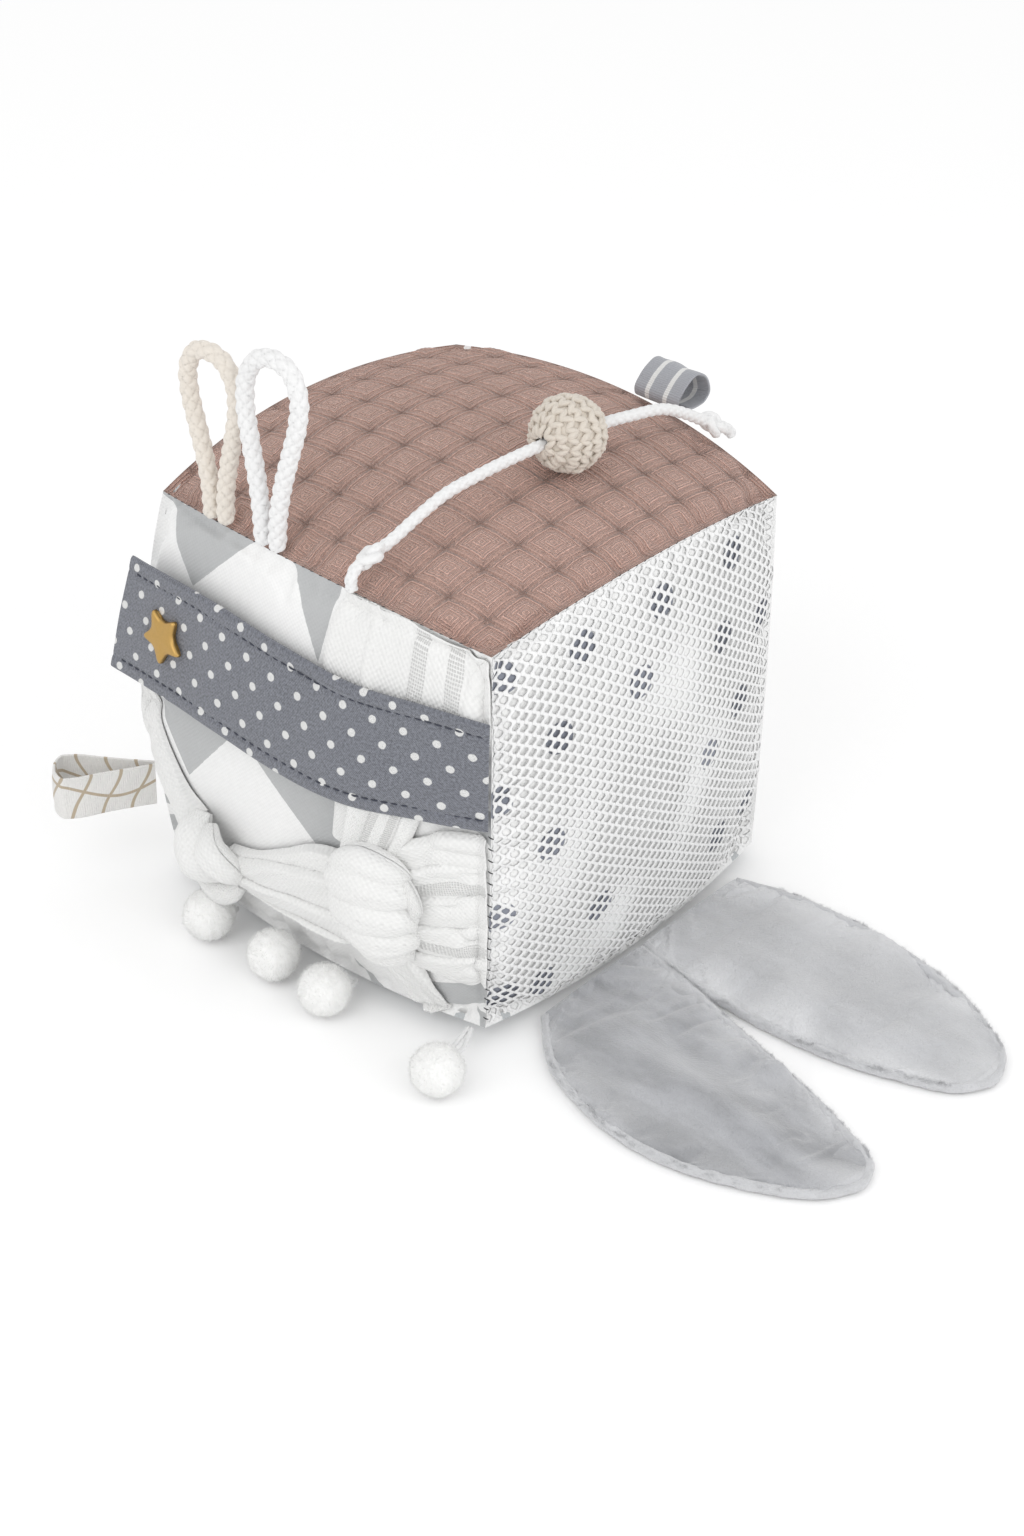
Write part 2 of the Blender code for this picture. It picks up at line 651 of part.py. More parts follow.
def make_muslin_band(name, route):
    """A folded band of muslin on the front, along its middle line."""
    rows = [(i / (len(route) - 1), *row) for i, row in enumerate(route)]
    widest = HALF * max(width for _, _, width in route)
    folds = max(LEAST_FOLD_COUNT, round(widest / MUSLIN_PLEAT))

    def place_at(u, v):
        t = (1 + v) / 2
        x, z, width = smooth(rows, t)
        ahead = smooth(rows, t + SEAM_SHARE) - smooth(rows, t - SEAM_SHARE)
        run = math.hypot(ahead[0], ahead[1])
        side_x = ahead[1] / run
        side_z = -ahead[0] / run
        spot_x = max(-1.0, min(1.0, x + side_x * width * u / 2))
        spot_z = max(-1.0, min(1.0, z + side_z * width * u / 2))
        middle, outward = front_frame(spot_x, spot_z)
        fold = MUSLIN_FOLD * (1 - math.cos(math.pi * folds * (1 + u))) / 2
        return middle + outward * (GAP + BAND_SEAT + MUSLIN + fold)

    band = sheet(name, 3 * folds, BAND_CELLS, place_at, WHITE)
    solidify(band, MUSLIN, -1)


def make_muslin_knot(name, place_shares, width, height, depth):
    """A tied lump of muslin, folded round its waist, seated on the front."""
    middle, outward = front_frame(*place_shares)
    shape = bmesh.new()
    bmesh.ops.create_uvsphere(shape, u_segments=20, v_segments=12, radius=1)
    for vertex in shape.verts:
        round_angle = math.atan2(vertex.co.y, vertex.co.x)
        level = 1 - abs(vertex.co.z)
        shrink = 1 - KNOT_FOLD_SHARE * level * (1 - math.cos(KNOT_FOLD_COUNT * round_angle)) / 2
        vertex.co = Vector((vertex.co.x * width, vertex.co.y * height, vertex.co.z * depth)) * shrink / 2
    mesh = bpy.data.meshes.new(name)
    shape.to_mesh(mesh)
    shape.free()
    knot = place(name, mesh, WHITE)
    out = depth / 2 + GAP + KNOT_SEAT
    knot.matrix_world = Matrix.Translation(middle + outward * out) @ turned_to(outward)


def make_ear(name, seam_share, slant_share, bend_share):
    """An ear of two layers that lies on the floor, hinged where it is sewn in."""
    seam = skin((1, seam_share, -1))
    root = Vector((seam.x + EAR_HINGE_OUT, seam.y, EAR_HEIGHT + GAP / 2))
    hinge = pivot(name + "_hinge", root)
    forward = Vector((1, slant_share, 0)).normalized()
    across = Vector((-forward.y, forward.x, 0))

    def lay(layer, side):
        weights = []

        def place_at(u, v):
            t = (1 + u) / 2
            square = min(1.0, t / EAR_SQUARE_ROOT_SHARE)
            way_across = Vector((0, 1, 0)).lerp(across, square).normalized()
            half = EAR_HALF_WIDTH * smooth(EAR_WIDTH_SHARES, t)
            bend = EAR_LENGTH * bend_share * 4 * t * (1 - t)
            spot = root + forward * (EAR_LENGTH * t) + across * bend + way_across * (half * v)
            spot.x -= EAR_ROOT_TUCK * (1 - square)
            spot.z = EAR_HEIGHT + (GAP if side > 0 else 0)
            rim = 1 - (1 - EAR_RIM_SHARE) * abs(v) ** 3
            weights.append(smooth(EAR_THICKNESS_SHARES, t) * rim)
            return spot

        ear = sheet(name + layer, 14, 7, place_at, PLUSH_GREY)
        group = ear.vertex_groups.new(name="thickness")
        for i, weight in enumerate(weights):
            group.add([i], weight, "REPLACE")
        solid = solidify(ear, EAR_LAYER, side)
        solid.vertex_group = group.name
        hang(ear, hinge)

    lay("_backing", -1)
    lay("_plush", 1)


def build():
    for leftover in list(bpy.data.objects):
        bpy.data.objects.remove(leftover)
    bpy.context.scene.collection.children.link(bpy.data.collections.new(COLLECTION))
    make_panels()
    make_filling()
    make_net()
    make_strap()
    make_cord_loop(
        "cord_loop_beige", LOOP_PLACE_SHARES["beige"],
        BEIGE_LOOP_WIDTH, BEIGE_LOOP_HEIGHT, BEIGE_LOOP_LEAN, BEIGE,
    )
    make_cord_loop(
        "cord_loop_white", LOOP_PLACE_SHARES["white"],
        WHITE_LOOP_WIDTH, WHITE_LOOP_HEIGHT, WHITE_LOOP_LEAN, WHITE,
    )
    make_bead()
    make_striped_tag()
    make_lined_tag()
    for number, shares in enumerate(POMPOM_SHARES, 1):
        make_pompom(number, *shares)
    for name, route in MUSLIN_BAND_SHARES.items():
        make_muslin_band(name, route)
    make_muslin_knot(
        "muslin_knot_large", LARGE_KNOT_PLACE_SHARES,
        LARGE_KNOT_WIDTH, LARGE_KNOT_HEIGHT, LARGE_KNOT_DEPTH,
    )
    make_muslin_knot(
        "muslin_knot_small", SMALL_KNOT_PLACE_SHARES,
        SMALL_KNOT_WIDTH, SMALL_KNOT_HEIGHT, SMALL_KNOT_DEPTH,
    )
    for name, shares in EAR_LAYOUT_SHARES.items():
        make_ear(name, *shares)


build()
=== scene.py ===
"""The looks of the soft fabric block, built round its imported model. Metres, +Z up."""

import math

import bpy
import numpy as np
from mathutils import Matrix, Vector


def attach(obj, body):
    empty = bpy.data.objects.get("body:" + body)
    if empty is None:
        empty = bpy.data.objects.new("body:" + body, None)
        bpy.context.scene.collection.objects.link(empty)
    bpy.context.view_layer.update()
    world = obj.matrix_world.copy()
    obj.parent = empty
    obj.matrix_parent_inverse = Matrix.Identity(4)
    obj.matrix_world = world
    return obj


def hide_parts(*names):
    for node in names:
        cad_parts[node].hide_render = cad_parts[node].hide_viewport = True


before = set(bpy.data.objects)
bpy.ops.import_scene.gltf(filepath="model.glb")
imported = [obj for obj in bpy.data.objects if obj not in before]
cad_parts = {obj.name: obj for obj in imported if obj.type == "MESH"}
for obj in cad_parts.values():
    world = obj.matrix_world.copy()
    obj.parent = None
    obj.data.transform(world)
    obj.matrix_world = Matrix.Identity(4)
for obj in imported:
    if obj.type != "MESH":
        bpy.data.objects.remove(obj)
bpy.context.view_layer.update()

# The photograph and its camera
IMAGE_HEIGHT_PX = 1536
FOCAL_PX = 3202.97
SENSOR = 36.0
CLIP = (0.01, 20)
CAMERA_PLACE = (0.549771, -0.624560, 0.598282)
CAMERA_YAW = 0.705634
CAMERA_PITCH = 0.592563
CAMERA_ROLL = 0.0220731

# Block
SEAM_SPAN = 0.130
PRESSED_FOOT = 0.006
SEAM_BOW = 0.010
CROWN = 0.005
CORNER_RISE = 0.004
HALF = SEAM_SPAN / 2
MIDDLE = HALF + PRESSED_FOOT
SEAM_REACH = HALF + SEAM_BOW
TOP_RISE = SEAM_BOW + CROWN

# Each face: the side and the axis it faces, then the two directions along it.
FACES = {"right": "+xyz", "left": "-xyz", "back": "+yxz", "front": "-yxz", "top": "+zxy", "bottom": "-zxy"}
FACE_SHARES = {
    "right": (0.35, 0.05, 0.30, 0.40, 1.0),
    "left": (0.90, 0.40, 0.50, 0.55, 1.0),
    "back": (0.40, 0.10, 0.50, 0.65, 1.0),
    "front": (0.20, 0.30, 0.60, 0.55, 1.2),
    "top": (0.70, 0.70, 0.30, 0.70, 1.0),
    "bottom": (0.20, 0.45, 0.15, 0.20, 1.2),
}
CORNER_RISE_SHARES = {(-1, 1): 1.0, (1, 1): -0.5, (-1, -1): 0.75, (1, -1): 0.0}

# The stuffed block's simulation
BLOCK_CELLS = 44
SIM_FRAMES = 20
SIM_SETTINGS = {
    "quality": 6, "mass": 0.3, "tension_stiffness": 15, "compression_stiffness": 15, "shear_stiffness": 5,
    "bending_stiffness": 0.2, "use_pressure": True,
}
SIM_PRESSURE = 4.0
SIM_GROWTH = 0.035
SIM_INSET = 0.0022
SIM_CAP = 0.0030
STUFFING_INSET = 0.0030
SEAM_DIP = 0.0010
SEAM_DIP_REACH = 0.0016
DIRECTION_POWER = 25

# Smooth noise, curves, and what counts as nothing
WAVE_COUNT = 7
WAVE_PITCHES = (0.4, 1.0)
WAVE_PHASE = 6.3
FINE_POINTS = 20
TINY = 1e-12
PARALLEL = 1e-3
SURFACE_STEP = 0.01
BAND_STEP = 0.002
ON_SEAM = 1 - 1e-6


def layout(face):
    """A face's axis, its side of the block, and the two directions along it, as numbers."""
    side, *letters = FACES[face]
    axis, first, second = ("xyz".index(letter) for letter in letters)
    return axis, 1 if side == "+" else -1, first, second


def bow(face, u, v):
    """How far a face stands out of the flat cube at places on it."""
    low_u, high_u, low_v, high_v, crown = FACE_SHARES[face]
    across = (1 - v * v) * (low_u * (1 - u) + high_u * (1 + u)) / 2
    upward = (1 - u * u) * (low_v * (1 - v) + high_v * (1 + v)) / 2
    return SEAM_BOW * (across + upward) + CROWN * crown * (1 - u * u) * (1 - v * v)


def skin(places):
    """The block's surface at places on the cube from -1 to 1, as in the CAD model."""
    places = np.asarray(places, float)
    points = HALF * places
    points[..., 2] += MIDDLE
    for face in FACES:
        axis, side, first, second = layout(face)
        out = bow(face, places[..., first], places[..., second])
        if face == "bottom":
            out = np.minimum(out, PRESSED_FOOT)
        points[..., axis] += side * out * ((1 + side * places[..., axis]) / 2) ** 2
    rise = sum(
        share * (1 + side_x * places[..., 0]) * (1 + side_y * places[..., 1])
        for (side_x, side_y), share in CORNER_RISE_SHARES.items()
    )
    points[..., 2] += CORNER_RISE * rise / 4 * (1 + places[..., 2]) / 2
    return points


def outward(places):
    """Which way is out at places on the cube: square to a face, and turning to the diagonal at its seams."""
    way = np.sign(places) * np.abs(places) ** DIRECTION_POWER
    return way / np.linalg.norm(way, axis=-1, keepdims=True)


def on_face(face, u, v):
    """Places on the cube for places across and up a face."""
    axis, side, first, second = layout(face)
    u, v = np.broadcast_arrays(np.asarray(u, float), np.asarray(v, float))
    places = np.empty(u.shape + (3,))
    places[..., axis] = side
    places[..., first] = u
    places[..., second] = v
    return places


def unit(vectors):
    return vectors / np.maximum(np.linalg.norm(vectors, axis=-1, keepdims=True), TINY)


def smooth(points, at):
    """Values at places on a smooth curve through rows of place and value."""
    rows = np.array(points, float)
    places = rows[:, 0]
    values = rows[:, 1:]
    slopes = np.gradient(values, places, axis=0)
    at = np.asarray(at, float)
    low = np.clip(np.searchsorted(places, at) - 1, 0, len(places) - 2)
    run = places[low + 1] - places[low]
    t = ((at - places[low]) / run)[..., None]
    run = run[..., None]
    start = (1 + 2 * t) * (1 - t) ** 2 * values[low] + t * (1 - t) ** 2 * run * slopes[low]
    end = t * t * (3 - 2 * t) * values[low + 1] + t * t * (t - 1) * run * slopes[low + 1]
    found = start + end
    return found[..., 0] if values.shape[1] == 1 else found


def lengths_along(points):
    return np.concatenate([[0.0], np.cumsum(np.linalg.norm(np.diff(points, axis=0), axis=1))])


def along(points, count):
    """Points spread evenly along a smooth curve through the given ones."""
    points = np.array([tuple(point) for point in points], float)
    places = lengths_along(points)
    fine = smooth(np.column_stack([places, points]), np.linspace(0, places[-1], FINE_POINTS * count))
    lengths = lengths_along(fine)
    wanted = np.linspace(0, lengths[-1], count)
    return np.column_stack([np.interp(wanted, lengths, fine[:, k]) for k in range(3)])


def waves(x, y, seed):
    """Seeded smooth noise in about -1 to 1, with wavelengths between 1 and 2.5."""
    rng = np.random.default_rng(seed)
    total = 0.0
    for _ in range(WAVE_COUNT):
        angle = rng.uniform(0, 2 * math.pi)
        pitch = rng.uniform(*WAVE_PITCHES) * 2 * math.pi
        phase = rng.uniform(0, WAVE_PHASE)
        total = total + np.sin(pitch * (x * math.cos(angle) + y * math.sin(angle)) + phase)
    return total / math.sqrt(WAVE_COUNT)


# Meshes


def add_object(name, data):
    made = bpy.data.objects.new(name, data)
    bpy.context.scene.collection.objects.link(made)
    return made


def place_grid(rows, columns):
    """Places from -1 to 1 along and across a grid."""
    return np.meshgrid(np.linspace(-1, 1, rows), np.linspace(-1, 1, columns), indexing="ij")


def grid_quads(rows, columns, wrap=False, flip=False):
    """Quads over a grid of points, closed round its columns if wrap."""
    i = np.arange(rows - 1)[:, None]
    j = np.arange(columns if wrap else columns - 1)[None, :]
    k = (j + 1) % columns
    near, far = i * columns, (i + 1) * columns
    quads = np.stack([near + j, far + j, far + k, near + k], axis=-1).reshape(-1, 4)
    return quads if flip else quads[:, ::-1]


def repeated(quads, size, count):
    """The quads of equal grids of points that follow each other, with size points in each."""
    return (quads[None] + size * np.arange(count)[:, None, None]).reshape(-1, 4)


def floored(points):
    """Points with none of them below the floor."""
    points[..., 2] = np.maximum(points[..., 2], 0.0)
    return points


def make_piece(name, points, faces, body, material, slot, nodes=(), **attributes):
    """A mesh piece that rides on a body, with point attributes for its material."""
    mesh = bpy.data.meshes.new(name)
    points = np.asarray(points, float).reshape(-1, 3)
    mesh.from_pydata(points.tolist(), [], [list(map(int, face)) for face in faces])
    mesh.validate()
    for key, values in attributes.items():
        values = np.asarray(values, np.float32).ravel()
        kind, field = ("FLOAT", "value") if values.size == len(points) else ("FLOAT_VECTOR", "vector")
        mesh.attributes.new(key, kind, "POINT").data.foreach_set(field, values)
    mesh.shade_smooth()
    mesh.materials.append(material)
    piece = add_object(name, mesh)
    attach(piece, body)
    if nodes:
        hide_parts(*nodes)
    return piece


def join(parts):
    """One set of points, faces and cloth coordinates from several."""
    points, faces, cloth, start = [], [], [], 0
    for part_points, part_faces, part_cloth in parts:
        part_points = np.asarray(part_points, float).reshape(-1, 3)
        points.append(part_points)
        faces.extend([int(number) + start for number in face] for face in part_faces)
        cloth.append(np.asarray(part_cloth, float).reshape(-1, 3))
        start += len(part_points)
    return np.concatenate(points), faces, np.concatenate(cloth)


def frames_along(points, up):
    """Side and upper directions along a line, carried along it without twisting."""
    tangents = unit(np.gradient(points, axis=0))
    side = np.cross(tangents[0], up)
    if np.linalg.norm(side) < PARALLEL:
        side = np.cross(tangents[0], (1.0, 0.0, 0.0))
    sides = [unit(side)]
    for tangent in tangents[1:]:
        sides.append(unit(sides[-1] - tangent * np.dot(sides[-1], tangent)))
    sides = np.array(sides)
    return sides, np.cross(sides, tangents)


def tube(points, radius, sides, relief, flat=1.0, up=(0.0, 0.0, 1.0)):
    """A round cord's points, faces and cloth coordinates. relief(angle, run) is how far it stands out."""
    points = np.asarray(points, float)
    side, upper = frames_along(points, up)
    run = lengths_along(points)
    angle = np.arange(sides) * 2 * math.pi / sides
    radii = np.broadcast_to(np.asarray(radius, float), (len(points),))[:, None]
    out = radii + relief(angle[None, :], run[:, None])
    ring = (
        side[:, None, :] * (out * np.cos(angle))[..., None]
        + upper[:, None, :] * (out * flat * np.sin(angle))[..., None]
    )
    shell = (points[:, None, :] + ring).reshape(-1, 3)
    cloth = np.stack(np.broadcast_arrays(radii * np.cos(angle), radii * np.sin(angle), run[:, None]), axis=-1)
    faces = grid_quads(len(points), sides, wrap=True).tolist()
    count = len(shell)
    last = count - sides
    for j in range(sides):
        k = (j + 1) % sides
        faces += [[count, k, j], [count + 1, last + j, last + k]]
    shell = np.concatenate([shell, points[[0, -1]]])
    return shell, faces, np.concatenate([cloth.reshape(-1, 3), [[0, 0, 0], [0, 0, run[-1]]]])


def braid(pitch, height):
    """Relief of a round braid: strands that cross over and under each other."""
    def relief(angle, run):
        a = BRAID_CARRIERS * angle / (2 * math.pi) + run / pitch
        b = BRAID_CARRIERS * angle / (2 * math.pi) - run / pitch
        across_a = 2 * (a % 1) - 1
        across_b = 2 * (b % 1) - 1
        first_on_top = (np.floor(a) + np.floor(b)) % 2 < 1
        over = np.where(first_on_top, across_b, across_a)
        length = np.where(first_on_top, across_a, across_b)
        strand = np.sqrt(np.maximum(0, 1 - over**2)) * (1 - BRAID_SHORTEN * length**2)
        return height * (strand - BRAID_LEVEL)
    return relief


# Materials


def feed(tree, socket, value):
    """Links a socket to another one, or sets its value."""
    if isinstance(value, bpy.types.NodeSocket):
        tree.links.new(value, socket)
    else:
        socket.default_value = value


def node(tree, kind, *inputs, **settings):
    """A shader node. Inputs are values or sockets, in order; None leaves one as it is."""
    made = tree.nodes.new("ShaderNode" + kind)
    for key, value in settings.items():
        setattr(made, key, value)
    for socket, value in zip(made.inputs, inputs):
        if value is not None:
            feed(tree, socket, value)
    return made


def math_node(tree, operation, *inputs):
    return node(tree, "Math", *inputs, operation=operation).outputs[0]


def attribute(tree, name, output="Fac"):
    return node(tree, "Attribute", attribute_name=name).outputs[output]


def rgba(colour, level=1.0):
    """A colour for a socket, made lighter or darker by a level."""
    return (*(min(1.0, c * level) for c in colour), 1.0)


def mixed(tree, factor, first, second):
    """One colour laid over another by a factor from 0 to 1."""
    made = node(tree, "Mix", factor, data_type="RGBA")
    feed(tree, made.inputs[6], first)
    feed(tree, made.inputs[7], second)
    return made.outputs[2]


def stepped(tree, value, low, high):
    """0 below low and 1 above high, with a soft step between."""
    made = node(tree, "MapRange", value, low, high, 0.0, 1.0, interpolation_type="SMOOTHSTEP", clamp=True)
    return made.outputs[0]


def within(tree, value, reach, soft):
    """1 up to a reach and 0 beyond it, with a soft edge."""
    return math_node(tree, "SUBTRACT", 1.0, stepped(tree, value, reach - soft, reach + soft))


def vary(tree, value, pattern, spread):
    """A value raised and lowered by a pattern of 0 to 1, about the pattern's middle."""
    number = isinstance(value, float)
    low = value - spread / 2 if number else math_node(tree, "ADD", value, -spread / 2)
    return math_node(tree, "MULTIPLY_ADD", pattern, spread, low)


def sines(tree, value, pitch):
    """Waves of -1 to 1 along a value, a pitch apart."""
    return math_node(tree, "SINE", math_node(tree, "MULTIPLY", value, 2 * math.pi / pitch))


def stretched(tree, cloth, shares):
    """Cloth coordinates scaled each way, for a pattern that is drawn out."""
    return node(tree, "VectorMath", cloth, shares, operation="MULTIPLY").outputs[0]


def start_material(name, roughness, sheen=0.0, metallic=0.0, specular=0.3):
    """A material's tree, its shader, and the cloth coordinates it works in."""
    made = bpy.data.materials.new(name)
    made.use_nodes = True
    tree = made.node_tree
    shader = tree.nodes["Principled BSDF"]
    for key, value in (
        ("Roughness", roughness), ("Metallic", metallic), ("Specular IOR Level", specular),
        ("Sheen Weight", sheen), ("Sheen Roughness", 0.5),
    ):
        shader.inputs[key].default_value = value
    return made, tree, shader, attribute(tree, "cloth", "Vector")


def set_colour(tree, shader, colour, level):
    """Gives the shader a colour made lighter or darker by a pattern about 1."""
    scaled = node(tree, "VectorMath", colour, operation="SCALE")
    tree.links.new(level, scaled.inputs["Scale"])
    tree.links.new(scaled.outputs[0], shader.inputs["Base Color"])


def set_roughness(tree, shader, roughness, pattern, spread):
    tree.links.new(vary(tree, roughness, pattern, spread), shader.inputs["Roughness"])


def set_bump(tree, shader, height, depth):
    """Gives the shader a bump from a height in 0 to 1 and its depth in metres."""
    made = tree.nodes.new("ShaderNodeBump")
    made.inputs["Strength"].default_value = 1.0
    made.inputs["Distance"].default_value = depth
    tree.links.new(height, made.inputs["Height"])
    tree.links.new(made.outputs["Normal"], shader.inputs["Normal"])


def weave_height(tree, cloth, thread):
    """A plain weave: threads that go over and under each other every thread width."""
    parts = node(tree, "SeparateXYZ", cloth)
    x = sines(tree, parts.outputs[0], 2 * thread)
    y = sines(tree, parts.outputs[1], 2 * thread)
    return math_node(tree, "MULTIPLY_ADD", math_node(tree, "MULTIPLY", x, y), 0.5, 0.5)


def noise(tree, cloth, size, detail=3.0, roughness=0.6):
    return node(tree, "TexNoise", cloth, None, 1 / size, detail, roughness).outputs["Fac"]


# Woven cotton
COTTON_THREAD = 0.0007
COTTON_SLUB = 0.0022
COTTON_PATCH = 0.018
COTTON_BUMP = 0.00012
COTTON_ROUGHNESS = 0.88
COTTON_SHEEN = 0.25
COTTON_MOTTLING = 0.10
PRINT_RAGGED = 0.0005
PRINT_EDGE = (-0.0001, 0.0002)

# Yarn and metal
YARN_STRETCH = 5.0
YARN_PATCH = 0.006
SCRATCH = 0.0006
SCRATCH_BUMP = 0.00002


def fabric(name, colour, printed=None):
    """Woven cotton. printed is a colour laid where the point attribute print is positive."""
    made, tree, shader, cloth = start_material(name, COTTON_ROUGHNESS, COTTON_SHEEN)
    weave = weave_height(tree, cloth, COTTON_THREAD)
    slub = noise(tree, cloth, COTTON_SLUB)
    base = colour
    if printed:
        edge = vary(tree, attribute(tree, "print"), slub, PRINT_RAGGED)
        base = mixed(tree, stepped(tree, edge, *PRINT_EDGE), rgba(colour), rgba(printed))
    shade = vary(tree, 1.0, slub, -COTTON_MOTTLING)
    shade = vary(tree, shade, noise(tree, cloth, COTTON_PATCH), -COTTON_MOTTLING * 0.6)
    shade = vary(tree, shade, weave, COTTON_MOTTLING * 0.5)
    set_colour(tree, shader, base, shade)
    height = math_node(tree, "MULTIPLY_ADD", slub, 0.8, math_node(tree, "MULTIPLY", weave, 0.6))
    set_bump(tree, shader, height, COTTON_BUMP)
    set_roughness(tree, shader, COTTON_ROUGHNESS, slub, 0.12)
    return made


def yarn(name, colour, fibre=0.00045, depth=0.00015, roughness=0.85, sheen=0.3, mottling=0.14):
    """Twisted or brushed yarn: fine fibres drawn out along the piece."""
    made, tree, shader, cloth = start_material(name, roughness, sheen)
    fibres = noise(tree, stretched(tree, cloth, (1.0, 1.0, 1 / YARN_STRETCH)), fibre, 4.0)
    shade = vary(tree, 1.0, fibres, mottling)
    shade = vary(tree, shade, noise(tree, cloth, YARN_PATCH), mottling * 0.5)
    set_colour(tree, shader, colour, shade)
    set_bump(tree, shader, fibres, depth)
    set_roughness(tree, shader, roughness, fibres, 0.1)
    return made


def metal(name, colour, roughness):
    """Plated metal with fine scratches."""
    made, tree, shader, _ = start_material(name, roughness, metallic=1.0, specular=0.5)
    scratches = noise(tree, node(tree, "TexCoord").outputs["Object"], SCRATCH, 5.0)
    worn = mixed(tree, scratches, rgba(colour, 0.85), rgba(colour, 1.1))
    tree.links.new(worn, shader.inputs["Base Color"])
    set_roughness(tree, shader, roughness, scratches, 0.2)
    set_bump(tree, shader, scratches, SCRATCH_BUMP)
    return made


# Camera, light and floor


def make_camera():
    """The photograph's camera."""
    way = Vector((
        -math.sin(CAMERA_YAW) * math.cos(CAMERA_PITCH),
        math.cos(CAMERA_YAW) * math.cos(CAMERA_PITCH),
        -math.sin(CAMERA_PITCH),
    ))
    right = Vector((math.cos(CAMERA_YAW), math.sin(CAMERA_YAW), 0))
    upper = right.cross(way)
    turned_right = right * math.cos(CAMERA_ROLL) + upper * math.sin(CAMERA_ROLL)
    turned_up = upper * math.cos(CAMERA_ROLL) - right * math.sin(CAMERA_ROLL)
    lens = bpy.data.cameras.new("camera")
    lens.sensor_width = SENSOR
    lens.lens = FOCAL_PX / IMAGE_HEIGHT_PX * SENSOR
    lens.clip_start, lens.clip_end = CLIP
    camera = add_object("camera", lens)
    turn = Matrix((turned_right, turned_up, -way)).transposed().to_4x4()
    camera.matrix_world = Matrix.Translation(CAMERA_PLACE) @ turn
    bpy.context.scene.camera = camera


KEY_PLACE = (0.05, -1.10, 1.00)
KEY_SIZE = 1.2
KEY_POWER = 3.6
FILL_PLACE = (1.10, -0.15, 0.50)
FILL_SIZE = 1.2
FILL_POWER = 2.7
SKY = 0.88
FLOOR_SIZE = 8.0
FLOOR_WHITE = 0.95
FLOOR_GLOW = 0.09


def aimed(name, place, size, power):
    """A soft round lamp that shines on the block's middle."""
    lamp = bpy.data.lights.new(name, "AREA")
    lamp.shape = "DISK"
    lamp.size = size
    lamp.energy = power
    made = add_object(name, lamp)
    made.location = place
    made.rotation_mode = "QUATERNION"
    made.rotation_quaternion = (Vector((0, 0, MIDDLE)) - Vector(place)).to_track_quat("-Z", "Y")


def make_studio():
    """White floor and surround, with large soft lights before the front and the right side."""
    scene = bpy.context.scene
    scene.view_settings.view_transform = "Standard"
    world = bpy.data.worlds.new("surround")
    world.use_nodes = True
    scene.world = world
    tree = world.node_tree
    back = tree.nodes["Background"]
    back.inputs["Color"].default_value = (1, 1, 1, 1)
    seen = node(tree, "LightPath")
    direct = math_node(tree, "MAXIMUM", seen.outputs["Is Camera Ray"], seen.outputs["Is Glossy Ray"])
    direct = math_node(tree, "MAXIMUM", direct, seen.outputs["Is Transmission Ray"])
    level = math_node(tree, "MULTIPLY_ADD", direct, 1 - SKY, SKY)
    tree.links.new(level, back.inputs["Strength"])
    aimed("key", KEY_PLACE, KEY_SIZE, KEY_POWER)
    aimed("fill", FILL_PLACE, FILL_SIZE, FILL_POWER)

    mesh = bpy.data.meshes.new("floor")
    reach = FLOOR_SIZE / 2
    corners = [(-reach, -reach, 0), (reach, -reach, 0), (reach, reach, 0), (-reach, reach, 0)]
    mesh.from_pydata(corners, [], [(0, 1, 2, 3)])
    floor = add_object("floor", mesh)
    made = bpy.data.materials.new("floor_white")
    made.use_nodes = True
    tree = made.node_tree
    tree.nodes.clear()
    paper = node(tree, "BsdfDiffuse", rgba((FLOOR_WHITE,) * 3))
    glow = node(tree, "Emission", (1, 1, 1, 1))
    seen = node(tree, "LightPath")
    strength = math_node(tree, "MULTIPLY", seen.outputs["Is Camera Ray"], FLOOR_GLOW)
    tree.links.new(strength, glow.inputs["Strength"])
    both = node(tree, "AddShader", paper.outputs[0], glow.outputs[0])
    node(tree, "OutputMaterial", both.outputs[0])
    mesh.materials.append(made)


# The stuffed block


def block_lattice():
    """The cube's surface as one welded grid: its places, and each face's grid of point numbers."""
    count = BLOCK_CELLS + 1
    steps = np.arange(count)
    grids = []
    for face in FACES:
        axis, side, first, second = layout(face)
        lattice = np.zeros((count, count, 3), int)
        lattice[..., axis] = BLOCK_CELLS if side > 0 else 0
        lattice[..., first] = steps[:, None]
        lattice[..., second] = steps[None, :]
        grids.append(lattice.reshape(-1, 3))
    unique, inverse = np.unique(np.concatenate(grids), axis=0, return_inverse=True)
    inverse = inverse.reshape(len(FACES), count, count)
    return 2 * unique / BLOCK_CELLS - 1, dict(zip(FACES, inverse))


def face_flips(face):
    """Whether a grid over a face has to be turned for its quads to face out."""
    axis, side, first, _ = layout(face)
    turn = 1 if (first - axis) % 3 == 1 else -1
    return turn * side < 0


def face_quads(face, count):
    """Quads over a face's grid of points, count each way, that face out."""
    return grid_quads(count, count, flip=not face_flips(face))


def block_quads(grids):
    """Quads over the whole welded grid."""
    quads = [numbers.reshape(-1)[face_quads(face, BLOCK_CELLS + 1)] for face, numbers in grids.items()]
    return np.concatenate(quads).tolist()


